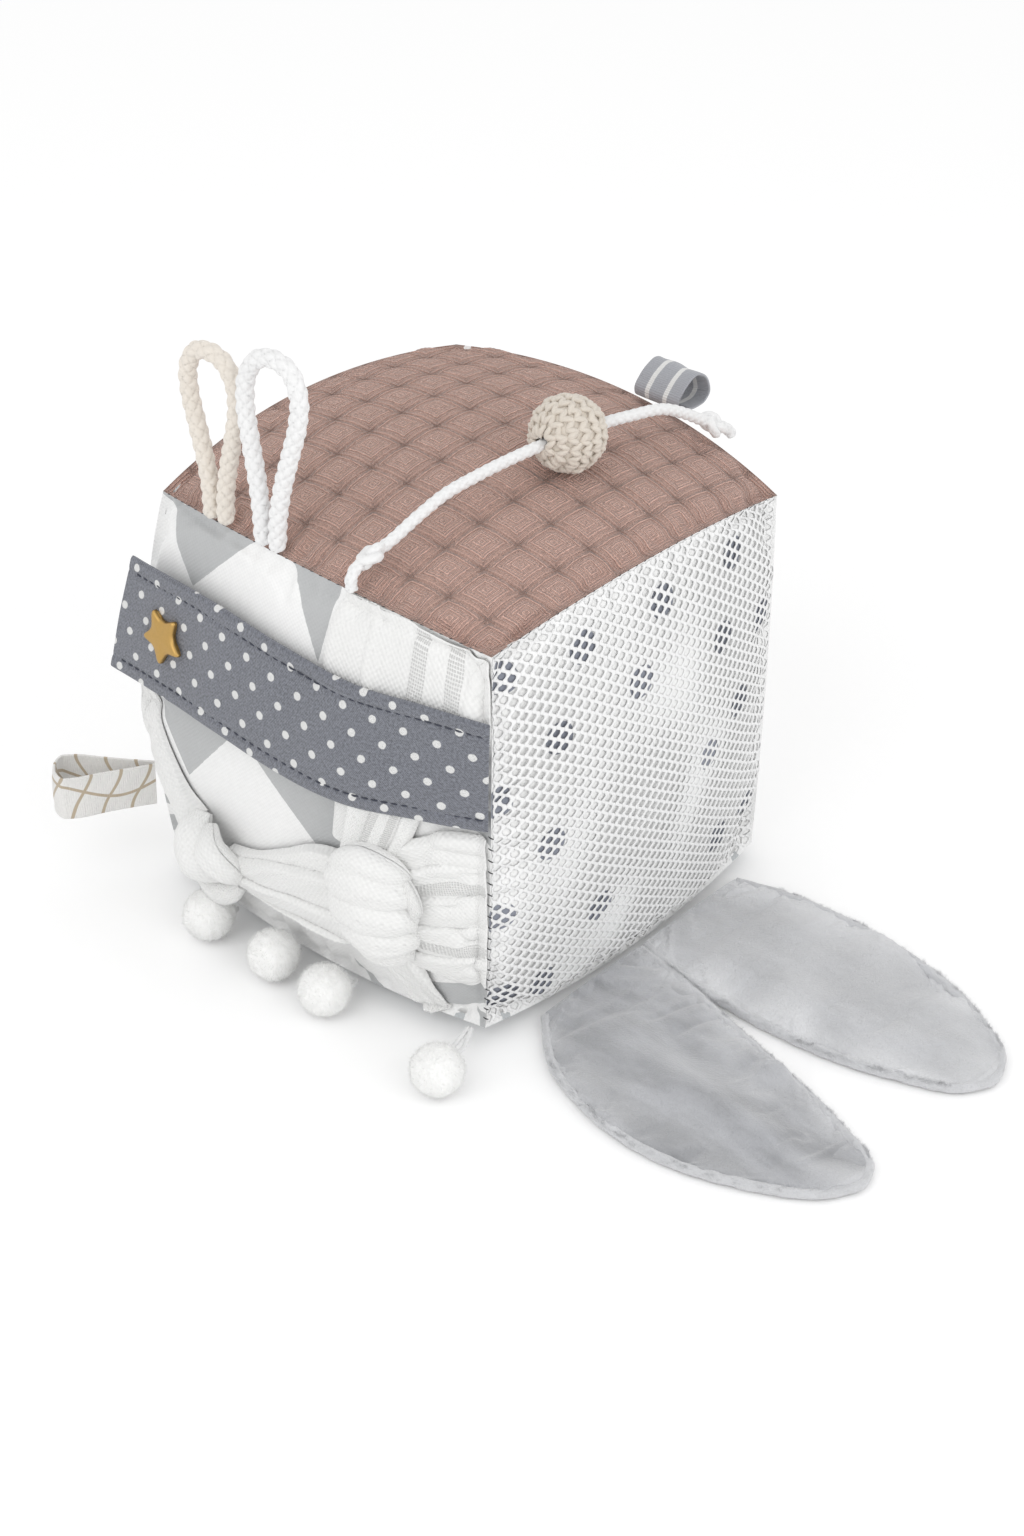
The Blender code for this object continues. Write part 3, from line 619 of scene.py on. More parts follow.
def settle(points, faces, pinned, pressure, growth, cap):
    """Runs the cloth simulation on a closed mesh and returns how its points move, up to a cap."""
    mesh = bpy.data.meshes.new("settling")
    mesh.from_pydata(points.tolist(), [], faces)
    piece = add_object("settling", mesh)
    group = piece.vertex_groups.new(name="pinned")
    group.add(np.flatnonzero(pinned).tolist(), 1.0, "REPLACE")
    cloth = piece.modifiers.new("Cloth", "CLOTH")
    for key, value in SIM_SETTINGS.items():
        setattr(cloth.settings, key, value)
    cloth.settings.uniform_pressure_force = pressure
    cloth.settings.effector_weights.gravity = 0
    cloth.settings.vertex_group_mass = group.name
    cloth.settings.shrink_min = -growth
    cloth.collision_settings.use_collision = False
    cloth.point_cache.frame_start = 1
    cloth.point_cache.frame_end = SIM_FRAMES
    scene = bpy.context.scene
    for step in range(1, SIM_FRAMES + 1):
        scene.frame_set(step)
    graph = bpy.context.evaluated_depsgraph_get()
    found = piece.evaluated_get(graph).to_mesh()
    ends = np.empty(len(found.vertices) * 3, np.float32)
    found.vertices.foreach_get("co", ends)
    piece.evaluated_get(graph).to_mesh_clear()
    scene.frame_set(1)
    bpy.data.objects.remove(piece)
    bpy.data.meshes.remove(mesh)
    move = ends.reshape(-1, 3).astype(float) - points
    far = np.linalg.norm(move, axis=1, keepdims=True)
    return move * np.minimum(1, cap / np.maximum(far, TINY))


def stuff_block():
    """The block's settled surface: each face's grid of points."""
    places, grids = block_lattice()
    on_seam = (np.abs(places) > ON_SEAM).sum(axis=1) >= 2
    way = outward(places)
    start = skin(places) - way * SIM_INSET
    move = np.zeros_like(start)
    move = settle(start, block_quads(grids), on_seam, SIM_PRESSURE, SIM_GROWTH, SIM_CAP)
    out = (move * way).sum(axis=1, keepdims=True)
    move -= way * np.maximum(0, out - SIM_INSET)
    points = start + move
    points[on_seam] = skin(places[on_seam])
    floored(points)
    return {face: points[numbers] for face, numbers in grids.items()}


make_camera()
make_studio()
settled = stuff_block()


def spline_weights(t):
    """The weights of four neighbours on a smooth curve through points, a share t past the second."""
    return np.stack([
        ((2 - t) * t - 1) * t / 2,
        ((3 * t - 5) * t * t + 2) / 2,
        ((4 - 3 * t) * t + 1) * t / 2,
        (t - 1) * t * t / 2,
    ], axis=-1)


def fine_grid(grid, u, v):
    """Points on a smooth surface through a grid, at places from -1 to 1 along and across it."""
    rows, columns = grid.shape[0] - 1, grid.shape[1] - 1
    grid = np.concatenate([2 * grid[:1] - grid[1:2], grid, 2 * grid[-1:] - grid[-2:-1]], axis=0)
    grid = np.concatenate([2 * grid[:, :1] - grid[:, 1:2], grid, 2 * grid[:, -1:] - grid[:, -2:-1]], axis=1)
    x = (u + 1) / 2 * rows
    y = (v + 1) / 2 * columns
    i = np.clip(np.floor(x).astype(int), 0, rows - 1)
    j = np.clip(np.floor(y).astype(int), 0, columns - 1)
    across, up = spline_weights(x - i), spline_weights(y - j)
    found = np.zeros(u.shape + (3,))
    for a in range(4):
        for b in range(4):
            found += grid[i + a, j + b] * (across[..., a] * up[..., b])[..., None]
    return found


def surface(face, u, v):
    """The settled block's surface at places on a face."""
    u, v = np.broadcast_arrays(np.asarray(u, float), np.asarray(v, float))
    return fine_grid(settled[face], u, v)


def lifted(face, u, v, lift):
    """Places over a face, lifted off its settled surface."""
    along_u = surface(face, u + SURFACE_STEP, v) - surface(face, u - SURFACE_STEP, v)
    along_v = surface(face, u, v + SURFACE_STEP) - surface(face, u, v - SURFACE_STEP)
    normal = unit(np.cross(along_u, along_v))
    if face_flips(face):
        normal = -normal
    return surface(face, u, v) + normal * np.asarray(lift, float)[..., None]


def to_seam(u, v):
    """How far places on a face are from its nearest seam."""
    return HALF * (1 - np.maximum(np.abs(u), np.abs(v)))


def seam_dip(u, v):
    """How far the sewing pulls a face in at its seams."""
    return SEAM_DIP * np.exp(-((to_seam(u, v) / SEAM_DIP_REACH) ** 2))


def make_panel(face, cells, relief, material, slot, **fields):
    """A panel of the cover over its face. Fields are functions of places on it and of where they lie."""
    u, v = place_grid(cells + 1, cells + 1)
    points = surface(face, u, v)
    attributes = {key: field(u, v, points) for key, field in fields.items()}
    out = (relief(u, v) if relief else 0.0) - seam_dip(u, v)
    points = floored(points + outward(on_face(face, u, v)) * out[..., None])
    cloth = np.stack([u * HALF, v * HALF, np.zeros_like(u)], axis=-1)
    panel = make_piece(
        "cover_" + face, points, face_quads(face, cells + 1), "block", material, slot, ["panel_" + face],
        cloth=cloth, **attributes,
    )


# Colours
BROWN = (0.595, 0.382, 0.318)
WHITE = (0.86, 0.86, 0.855)
PRINT_GREY = (0.475, 0.483, 0.487)
DOT_BLUE = (0.24, 0.255, 0.30)
PANEL_GREY = (0.50, 0.52, 0.53)
FIBRE_WHITE = (0.85, 0.85, 0.84)
NET_WHITE = (0.86, 0.86, 0.86)
MUSLIN_WHITE = (0.86, 0.86, 0.85)
# Painted shade seen through the muslin's drawn-thread holes
HOLE_SHADE_GREY = (0.60, 0.60, 0.59)
STRAP_BLUE = (0.160, 0.168, 0.195)
STRAP_DOT = (0.80, 0.80, 0.79)
STITCH_DARK = (0.045, 0.05, 0.07)
SEAM_DARK = (0.035, 0.035, 0.04)
GOLD = (0.55, 0.35, 0.12)
STEEL = (0.62, 0.62, 0.60)
CORD_WHITE = (0.84, 0.84, 0.84)
BEIGE = (0.78, 0.725, 0.655)
CROCHET = (0.70, 0.64, 0.565)
WOOD = (0.55, 0.38, 0.22)
TAPE_GREY = (0.37, 0.38, 0.41)
TAPE_STRIPE = (0.72, 0.72, 0.71)
TAPE_WHITE = (0.80, 0.79, 0.77)
TAN = (0.48, 0.40, 0.30)
POMPOM_WHITE = (0.955, 0.955, 0.945)
PLUSH_GREY = (0.305, 0.310, 0.327)
# The pale colour of the plush's painted sheen
PLUSH_SHEEN_PALE = (0.82, 0.825, 0.84)

# Waffle cotton on the top
WAFFLE_CELLS = 10
WAFFLE_CELL = SEAM_SPAN / WAFFLE_CELLS
WAFFLE_DEPTH = 0.0017
WAFFLE_LEVEL = 0.75
WAFFLE_RIB = 0.00026
WAFFLE_RIB_PITCH = 0.0013
WAFFLE_RIB_REACH = 0.0022
WAFFLE_CALM = 0.004
WAFFLE_THREAD = 0.00085
WAFFLE_SLUB = 0.0016
WAFFLE_SLUB_BEND = 0.0007
WAFFLE_WEAVE = 0.0005
WAFFLE_PATCH = 0.016
WAFFLE_BUMP = 0.00052


def waffle_cell(u, v):
    """Where places are in their waffle cell, -0.5 to 0.5 each way, and how open it is each way there."""
    a = ((u + 1) / 2 * WAFFLE_CELLS) % 1 - 0.5
    b = ((v + 1) / 2 * WAFFLE_CELLS) % 1 - 0.5
    return a, b, np.cos(math.pi * a), np.cos(math.pi * b)


def waffle(u, v):
    """Soft square pads, with threads along their borders and a dimple where four pads meet."""
    a, b, open_a, open_b = waffle_cell(u, v)
    bridge = 1 - (1 - open_a) * (1 - open_b)
    uneven = 1 + 0.18 * waves(u * 3, v * 3, 3)
    off = np.maximum(np.abs(a), np.abs(b))
    line = WAFFLE_CELL * (0.5 - off)
    ribs = np.cos(2 * math.pi * line / WAFFLE_RIB_PITCH) * (0.25 + np.exp(-line / WAFFLE_RIB_REACH))
    calm = np.clip(to_seam(u, v) / WAFFLE_CALM, 0, 1)
    height = 0.50 * bridge + 0.32 * open_a * open_b + 0.18 * (1 - 2 * off) - WAFFLE_LEVEL
    return (WAFFLE_DEPTH * uneven * height + WAFFLE_RIB * ribs) * calm


def waffle_hollow(u, v, points):
    """How deep in the waffle's dimples places are, 0 to 1, for the painted shade that darkens them."""
    open_a, open_b = waffle_cell(u, v)[2:]
    return 0.85 * ((1 - open_a) * (1 - open_b)) ** 1.3 + 0.15 * (1 - open_a * open_b)


def waffle_cotton():
    """Brown waffle cotton: threads that run round each cell, with painted shade that darkens the dimples and
    lightens the pads.
    """
    made, tree, shader, cloth = start_material("waffle_brown", 0.9, 0.25)
    parts = node(tree, "SeparateXYZ", cloth)
    x = math_node(tree, "PINGPONG", parts.outputs[0], WAFFLE_CELL / 2)
    y = math_node(tree, "PINGPONG", parts.outputs[1], WAFFLE_CELL / 2)
    slub = noise(tree, cloth, WAFFLE_SLUB, 4.0)
    line = math_node(tree, "MULTIPLY_ADD", slub, WAFFLE_SLUB_BEND, math_node(tree, "MINIMUM", x, y))
    threads = sines(tree, line, WAFFLE_THREAD)
    weave = weave_height(tree, cloth, WAFFLE_WEAVE)
    # Painted shade: darker in the waffle's dimples, lighter on its pads.
    shade = math_node(tree, "MULTIPLY_ADD", attribute(tree, "hollow"), -0.50, 1.10)
    shade = math_node(tree, "MULTIPLY_ADD", threads, 0.17, shade)
    shade = vary(tree, shade, slub, 0.44)
    shade = vary(tree, shade, noise(tree, cloth, WAFFLE_PATCH), 0.12)
    set_colour(tree, shader, BROWN, shade)
    height = math_node(tree, "MULTIPLY_ADD", threads, 0.65, math_node(tree, "MULTIPLY", weave, 0.5))
    set_bump(tree, shader, math_node(tree, "ADD", height, slub), WAFFLE_BUMP)
    set_roughness(tree, shader, 0.9, slub, 0.12)
    return made


# The print on the front: grey shapes on white, as corners across and up the front
FRONT_SHAPES = (
    ((-0.0721, 0.1460), (-0.0161, 0.1460), (-0.0460, 0.1164)),
    ((-0.0092, 0.1460), (0.0139, 0.1460), (0.0089, 0.1150)),
    ((-0.0748, 0.0800), (-0.0216, 0.0800), (-0.0496, 0.0485)),
    ((-0.0214, 0.0800), (0.0230, 0.0800), (0.0230, 0.0560), (0.0095, 0.0531)),
    ((0.0500, 0.0860), (0.0700, 0.0870), (0.0700, 0.0740), (0.0600, 0.0790)),
    ((0.0445, 0.0170), (0.0700, 0.0262), (0.0700, 0.0110), (0.0557, 0.0106), (0.0469, 0.0060)),
    ((0.0600, 0.0120), (0.0720, 0.0130), (0.0720, 0.0020), (0.0640, 0.0035)),
    ((-0.0750, 0.0320), (-0.0700, 0.0290), (-0.0667, 0.0247), (-0.0740, 0.0270)),
    ((-0.0740, 0.0205), (-0.0550, 0.0241), (-0.0579, 0.0170), (-0.0740, 0.0150)),
    ((-0.0720, 0.0112), (-0.0604, 0.0095), (-0.0532, 0.0035), (-0.0635, 0.0036)),
    ((0.0175, 0.0140), (0.0290, 0.0040), (0.0250, 0.0015)),
)
FAR_INSIDE = 1.0


def inside(shape, x, z):
    """How far places are inside a convex shape, negative outside."""
    corners = np.array(shape)
    middle = corners.mean(axis=0)
    least = np.full(np.shape(x), FAR_INSIDE)
    for start, end in zip(corners, np.roll(corners, -1, axis=0)):
        side = unit(np.array([end[1] - start[1], start[0] - end[0]]))
        if np.dot(middle - start, side) < 0:
            side = -side
        least = np.minimum(least, (x - start[0]) * side[0] + (z - start[1]) * side[1])
    return least


def front_print(u, v, points):
    return np.max([inside(shape, points[..., 0], points[..., 2]) for shape in FRONT_SHAPES], axis=0)


# Dots on the right panel: places along and up it, and their sizes
DOT_PLACES = (
    (0.0378, 0.1266), (0.0015, 0.1273), (-0.0322, 0.1265), (-0.0603, 0.1268), (-0.0095, 0.1062),
    (0.0316, 0.1017), (0.0562, 0.0969), (-0.0425, 0.1016), (0.0435, 0.0733), (0.0265, 0.0633),
    (-0.0645, 0.0889), (-0.0460, 0.0674), (0.0566, 0.0260), (0.0391, 0.0244), (-0.0226, 0.0329),
    (-0.0636, 0.0484), (-0.0433, 0.0138), (-0.0577, 0.0157),
)
DOT_RADIUS = 0.0052
GENTLE_CALM = 0.010


def dots(u, v, points):
    far = [np.hypot(points[..., 1] - y, points[..., 2] - z) for y, z in DOT_PLACES]
    return DOT_RADIUS - np.min(far, axis=0)


def gentle(seed, height):
    """Soft unevenness of stretched cotton."""
    def relief(u, v):
        calm = np.clip(to_seam(u, v) / GENTLE_CALM, 0, 1)
        return height * calm * (waves(u * 1.5, v * 1.5, seed) - 1)
    return relief


def make_cover():
    """The six panels of the cover."""
    cotton = fabric("cotton_white", WHITE)
    printed = fabric("cotton_print", WHITE, PRINT_GREY)
    dotted = fabric("cotton_dots", WHITE, DOT_BLUE)
    # The waffle's dimples carry an attribute for painted shade.
    make_panel("top", 420, waffle, waffle_cotton(), "waffle", hollow=waffle_hollow)
    make_panel("front", 260, gentle(5, 0.0004), printed, "print_white", print=front_print)
    make_panel("right", 260, gentle(6, 0.0003), dotted, "dots_white", print=dots)
    make_panel("left", 130, gentle(7, 0.0005), cotton, "plain_white")
    make_panel("back", 130, gentle(8, 0.0005), cotton, "plain_white")
    make_panel("bottom", 130, None, fabric("cotton_grey", PANEL_GREY), "plain_grey")


def make_stuffing():
    """The filling, one crowned body just inside the cover."""
    places, grids = block_lattice()
    points = np.empty((len(places), 3))
    for face, numbers in grids.items():
        points[numbers] = settled[face]
    points -= outward(places) * STUFFING_INSET
    piece = make_piece(
        "stuffing", points, block_quads(grids), "block", yarn("fibre_white", FIBRE_WHITE, fibre=0.002),
        "stuffing", ["filling"], cloth=points,
    )


# Net over the right panel
NET_LINE = 0.0028
NET_CELL = 0.0034
NET_WIDTH = 0.0018
NET_MEET = 0.00024
NET_SQUARE = 1.6
NET_THICKNESS = 0.00034
NET_STANDOFF = 0.00028
NET_RIPPLE = 0.0003
NET_CALM = 0.008
NET_SEAM_REACH = 0.0018
NET_END = 0.989
NET_RINGS = 8
NET_SIDES = 6


def make_net():
    """Knitted net: strands that sway to meet their neighbours, with a hole between each two meetings."""
    lines = round(SEAM_SPAN / NET_LINE)
    rings = round(SEAM_SPAN / NET_CELL) * NET_RINGS + 1
    line = np.arange(lines)[:, None, None]
    v = np.linspace(-NET_END, NET_END, rings)[None, :, None]
    angle = (np.arange(NET_SIDES) * 2 * math.pi / NET_SIDES)[None, None, :]
    middle = -1 + (line + 0.5) * 2 / lines
    phase = 2 * math.pi * HALF * (v + 1) / NET_CELL + 0.8 * waves(middle * 1.3, v * 1.3, 21)
    sway = (NET_LINE - NET_WIDTH) / 2 + NET_MEET
    sway = sway * np.tanh(NET_SQUARE * np.sin(phase)) / np.tanh(NET_SQUARE) * (1 - 2 * (line % 2))
    u = np.clip(middle + (sway + NET_WIDTH / 2 * np.cos(angle)) / HALF, -NET_END, NET_END)
    v = np.broadcast_to(v, u.shape)
    ripple = NET_RIPPLE * (0.6 * waves(u * 1.8, v * 1.8, 22) + 0.4 * waves(u * 4, v * 1.2, 23))
    calm = np.clip(to_seam(u, v) / NET_CALM, 0, 1)
    seam = np.clip(to_seam(u, v) / NET_SEAM_REACH, 0, 1) ** 0.5
    lift = NET_STANDOFF * (1.5 * seam - 0.5) + ripple * calm - seam_dip(u, v)
    lift = lift + NET_THICKNESS / 2 * np.sin(angle)
    points = surface("right", u, v) + outward(on_face("right", u, v)) * lift[..., None]
    faces = repeated(grid_quads(rings, NET_SIDES, wrap=True), rings * NET_SIDES, lines)
    cloth = np.stack(np.broadcast_arrays(u * HALF, np.sin(angle) * NET_THICKNESS, HALF * (v + 1)), axis=-1)
    net = make_piece(
        "net", points, faces, "block", yarn("net_white", NET_WHITE, fibre=0.0004, mottling=0.10), "net",
        ["net_overlay"], cloth=cloth,
    )


# Flat bands of cloth


def across_band(cells, edge):
    """Places across a band from -0.5 to 0.5, and how thick it is there, with its edges rounded."""
    across = np.sin(np.linspace(-math.pi / 2, math.pi / 2, cells + 1)) / 2
    past = np.clip((np.abs(across) - (0.5 - edge)) / edge, 0, 1)
    return across, np.sqrt(1 - past**2)


def face_normals(surface_at, t, s, ends=(-math.inf, math.inf)):
    """Which way a surface faces at places on it, with its first direction kept between two ends."""
    low, high = ends
    ahead, behind = np.minimum(t + BAND_STEP, high), np.maximum(t - BAND_STEP, low)
    way_t = surface_at(ahead, s) - surface_at(behind, s)
    way_s = surface_at(t, s + BAND_STEP) - surface_at(t, s - BAND_STEP)
    return unit(np.cross(way_t, way_s))


def band(surface_at, run_cells, cells, thickness, edge=0.02, end=0.004, relief=None):
    """A closed flat band about surface_at(run, across). Returns its points, faces, and run and across."""
    across, thick = across_band(cells, edge)
    run, thick_run = across_band(run_cells, end)
    t = (run + 0.5)[:, None]
    s = across[None, :]
    middle = surface_at(t, s)
    normal = face_normals(surface_at, t, s, (0, 1))
    half = thickness / 2 * thick[None, :] * thick_run[:, None]
    raised = relief(t, s) if relief else 0.0
    front = middle + normal * (half + raised * thick[None, :] * thick_run[:, None])[..., None]
    back = middle - normal * half[..., None]
    ring = np.concatenate([front, back[:, -2:0:-1]], axis=1)
    rows, columns = ring.shape[:2]
    ring_t = np.broadcast_to(t, (rows, columns)).ravel()
    ring_s = np.broadcast_to(np.concatenate([across, across[-2:0:-1]])[None, :], (rows, columns)).ravel()
    # At each end the two faces meet in one row of points.
    kept = np.arange(rows * columns).reshape(rows, columns)
    for row in (0, rows - 1):
        kept[row, cells + 1:] = kept[row, cells - 1:0:-1]
    used, numbers = np.unique(kept, return_inverse=True)
    faces = numbers.reshape(-1)[grid_quads(rows, columns, wrap=True, flip=True)]
    return ring.reshape(-1, 3)[used], faces.tolist(), ring_t[used], ring_s[used]


# A stitch's rows: how far along it each is, how thick it is there, and how high it lies.
STITCH_REACH = np.array([-1, -0.85, -0.4, 0, 0.4, 0.85, 1])
STITCH_SWELL = np.array([0.25, 0.75, 1, 1.05, 1, 0.75, 0.25])
STITCH_RISE = np.array([-1.2, -0.3, 0.4, 0.6, 0.4, -0.3, -1.2]) - 0.3
STITCH_SIDES = 6


def stitches(path, normals, length, gap, radius, turn=0.0):
    """Short threads laid along a path. Returns points, faces and cloth coordinates."""
    run = lengths_along(path)
    count = int(run[-1] / (length + gap))
    at = (np.arange(count) + 0.5) * run[-1] / count
    middle = np.stack([np.interp(at, run, path[:, k]) for k in range(3)], axis=-1)
    ahead = np.stack([np.interp(at + gap / 2, run, path[:, k]) for k in range(3)], axis=-1)
    normal = unit(np.stack([np.interp(at, run, normals[:, k]) for k in range(3)], axis=-1))
    way = unit(ahead - middle)
    side = np.cross(normal, way)
    way, side = way * math.cos(turn) + side * math.sin(turn), side * math.cos(turn) - way * math.sin(turn)
    angle = np.arange(STITCH_SIDES) * 2 * math.pi / STITCH_SIDES
    lengthways = np.broadcast_to((STITCH_REACH * length / 2)[:, None], (len(STITCH_REACH), STITCH_SIDES))
    sideways = radius * STITCH_SWELL[:, None] * np.cos(angle)
    upward = radius * (STITCH_SWELL[:, None] * np.sin(angle) + STITCH_RISE[:, None])
    points = middle[:, None, None, :] + sum(
        direction[:, None, None, :] * share[None, ..., None]
        for direction, share in ((way, lengthways), (side, sideways), (normal, upward))
    )
    one = grid_quads(len(STITCH_REACH), STITCH_SIDES, wrap=True)
    faces = repeated(one, len(STITCH_REACH) * STITCH_SIDES, count)
    cloth = np.stack(np.broadcast_arrays(
        sideways[None], upward[None], at[:, None, None] + lengthways[None]
    ), axis=-1)
    return points.reshape(-1, 3), faces, cloth


# Strap, star and snap
STRAP_WIDTH = 0.0385
STRAP_THICKNESS = 0.0020
STRAP_REACH = 0.1395
STRAP_END_SLANT = 0.006
STRAP_HEIGHT = 0.0985
STRAP_WAVE = 0.004
STRAP_STANDOFF = 0.0125
STRAP_TWIST = 0.0070
STRAP_HINGE_PAST = 0.0030
STRAP_STANDOFF_SHARES = (
    (0.0, 0.200), (0.12, 0.294), (0.30, 0.333), (0.48, 0.345), (0.60, 0.40), (0.75, 0.546), (0.885, 0.743),
    (1.0, 1.0),
)
STRAP_WAVE_SHARES = ((0.0, 0.15), (0.14, 0.1), (0.30, -0.45), (0.53, -0.05), (0.72, 0.5), (1.0, 0.33))
STRAP_WIDTH_SHARES = ((0.0, 0.93), (0.25, 1.0), (1.0, 1.0))
STRAP_TWIST_SHARES = (
    (0.0, -0.18), (0.12, -0.14), (0.24, 0.0), (0.48, 0.11), (0.60, 0.16), (0.75, 0.36), (0.885, 0.66),
    (1.0, 1.0),
)
STITCH_IN = 0.0044
STITCH_LENGTH = 0.0027
STITCH_GAP = 0.0005
STITCH_RADIUS = 0.00030
STITCH_GROOVE = 0.00035
DOT_STEPS = ((0.0104, -0.0013), (-0.0062, -0.0060))
DOT_SIZE = 0.00128
DOT_EDGE = 0.00015
DOT_RAGGED = 0.0006
STRAP_SPECK = 0.0008
STRAP_PATCH = 0.02
STRAP_TWILL = 0.0008
STRAP_BUMP = 0.00030
STRAP_CELLS = (420, 90)
STITCH_ENDS = (0.006, 0.972)
STITCH_DEPTH_SHARE = 0.7
STAR_RADIUS = 0.0096
STAR_THICKNESS = 0.0022
STAR_PLACE_SHARE = 0.838
STAR_RISE_SHARE = 0.03
STAR_INNER_SHARE = 0.50
STAR_ROUNDS = 4
# Each ring of the star's cap: its size and how high it lies, as shares
STAR_RINGS = (
    (0.93, 0.0), (1.0, 0.16), (1.0, 0.55), (0.965, 0.80), (0.90, 0.95), (0.80, 1.0), (0.4, 1.06), (0.0, 1.08),
)
GAP = 0.0003


def strap_at(t, s):
    """The strap's middle surface, as in the CAD model: hinge to free end, and up from -0.5 to 0.5."""
    t, s = np.broadcast_arrays(np.asarray(t, float), np.asarray(s, float))
    x = HALF + STRAP_HINGE_PAST - (STRAP_REACH - STRAP_END_SLANT * s) * t
    width = STRAP_WIDTH * smooth(STRAP_WIDTH_SHARES, t)
    z = STRAP_HEIGHT + STRAP_WAVE * smooth(STRAP_WAVE_SHARES, t) + width * s
    front = HALF + bow("front", x / HALF, (z - MIDDLE) / HALF)
    standoff = STRAP_STANDOFF * smooth(STRAP_STANDOFF_SHARES, t)
    twist = STRAP_TWIST * s * smooth(STRAP_TWIST_SHARES, t)
    return np.stack([x, twist - front - standoff, z], axis=-1)


def lattice_distance(tree, cloth, steps):
    """How far a place is from the nearest point of a slanted lattice."""
    back = np.linalg.inv(np.array(steps).T)
    found = (0.0, 0.0, 0.0)
    for row, step in zip(back, steps):
        place = node(tree, "VectorMath", cloth, (*row, 0.0), operation="DOT_PRODUCT").outputs["Value"]
        whole = math_node(tree, "ROUND", place)
        rest = math_node(tree, "SUBTRACT", place, whole)
        part = node(tree, "VectorMath", (*step, 0.0), operation="SCALE")
        tree.links.new(rest, part.inputs["Scale"])
        found = node(tree, "VectorMath", part.outputs[0], found, operation="ADD").outputs[0]
    return node(tree, "VectorMath", found, operation="LENGTH").outputs["Value"]


def strap_cloth():
    """Blue-grey twill with a slanted lattice of white dots."""
    made, tree, shader, cloth = start_material("strap_twill", 0.86, 0.3)
    speck = noise(tree, cloth, STRAP_SPECK, 4.0)
    reach = lattice_distance(tree, stretched(tree, cloth, (1.0, 1.0, 0.0)), DOT_STEPS)
    dotted = within(tree, vary(tree, reach, speck, DOT_RAGGED), DOT_SIZE, DOT_EDGE)
    grain = stepped(tree, speck, 0.30, 0.70)
    heather = mixed(tree, grain, rgba(STRAP_BLUE, 0.62), rgba(STRAP_BLUE, 1.42))
    patches = math_node(tree, "MULTIPLY", noise(tree, cloth, STRAP_PATCH), 0.35)
    heather = mixed(tree, patches, heather, rgba(STRAP_BLUE, 1.35))
    painted = mixed(tree, math_node(tree, "MULTIPLY", dotted, 0.93), heather, rgba(STRAP_DOT))
    tree.links.new(painted, shader.inputs["Base Color"])
    parts = node(tree, "SeparateXYZ", cloth)
    twill = sines(tree, math_node(tree, "ADD", parts.outputs[0], parts.outputs[1]), STRAP_TWILL)
    height = math_node(tree, "MULTIPLY_ADD", twill, 0.25, speck)
    height = math_node(tree, "MULTIPLY_ADD", dotted, 0.35, height)
    set_bump(tree, shader, height, STRAP_BUMP)
    return made


def strap_relief(t, s):
    """Where the topstitching pulls the strap in, and the slight pads between its stitches."""
    to_edge = (0.5 - np.abs(s)) * STRAP_WIDTH
    run = t * STRAP_REACH
    pull = 0.75 + 0.25 * np.cos(2 * math.pi * run / (STITCH_LENGTH + STITCH_GAP))
    groove = STITCH_GROOVE * pull * np.exp(-(((to_edge - STITCH_IN) / 0.0008) ** 2))
    soft = 0.00022 * waves(run / 0.02, s * 2, 31)
    hem = 0.0002 * np.clip((STITCH_IN - to_edge) / 0.001, 0, 1)
    return soft + hem - groove


def strap_frame(t, s):
    """Places on the strap's middle surface and which way is out there."""
    normal = face_normals(strap_at, t, s)
    return strap_at(t, s), np.where(normal[..., 1:2] > 0, -normal, normal)


def make_strap():
    """The strap with its two lines of topstitching, and the star on its free end."""
    points, faces, t, s = band(
        lambda t, s: strap_at(1 - t, s), *STRAP_CELLS, STRAP_THICKNESS, edge=0.026, end=0.007,
        relief=lambda t, s: strap_relief(1 - t, s),
    )
    cloth = np.stack([(t - 1) * STRAP_REACH, s * STRAP_WIDTH, np.zeros_like(t)], axis=-1)
    strap = make_piece(
        "strap_band", points, faces, "strap", strap_cloth(), "strap_fabric", ["strap"], cloth=cloth
    )
    threads = []
    along_it = np.linspace(*STITCH_ENDS, 600)
    for side in (-1, 1):
        rise = np.full_like(along_it, side * (0.5 - STITCH_IN / STRAP_WIDTH))
        middle, normal = strap_frame(along_it, rise)
        path = middle + normal * (STRAP_THICKNESS / 2 - STITCH_GROOVE * STITCH_DEPTH_SHARE)
        threads.append(stitches(path, normal, STITCH_LENGTH, STITCH_GAP, STITCH_RADIUS))
    points, faces, cloth = join(threads)
    dark = yarn("thread_dark", STITCH_DARK, fibre=0.0002)
    topstitch = make_piece("strap_topstitch", points, faces, "strap", dark, "strap_fabric", cloth=cloth)
    make_star()


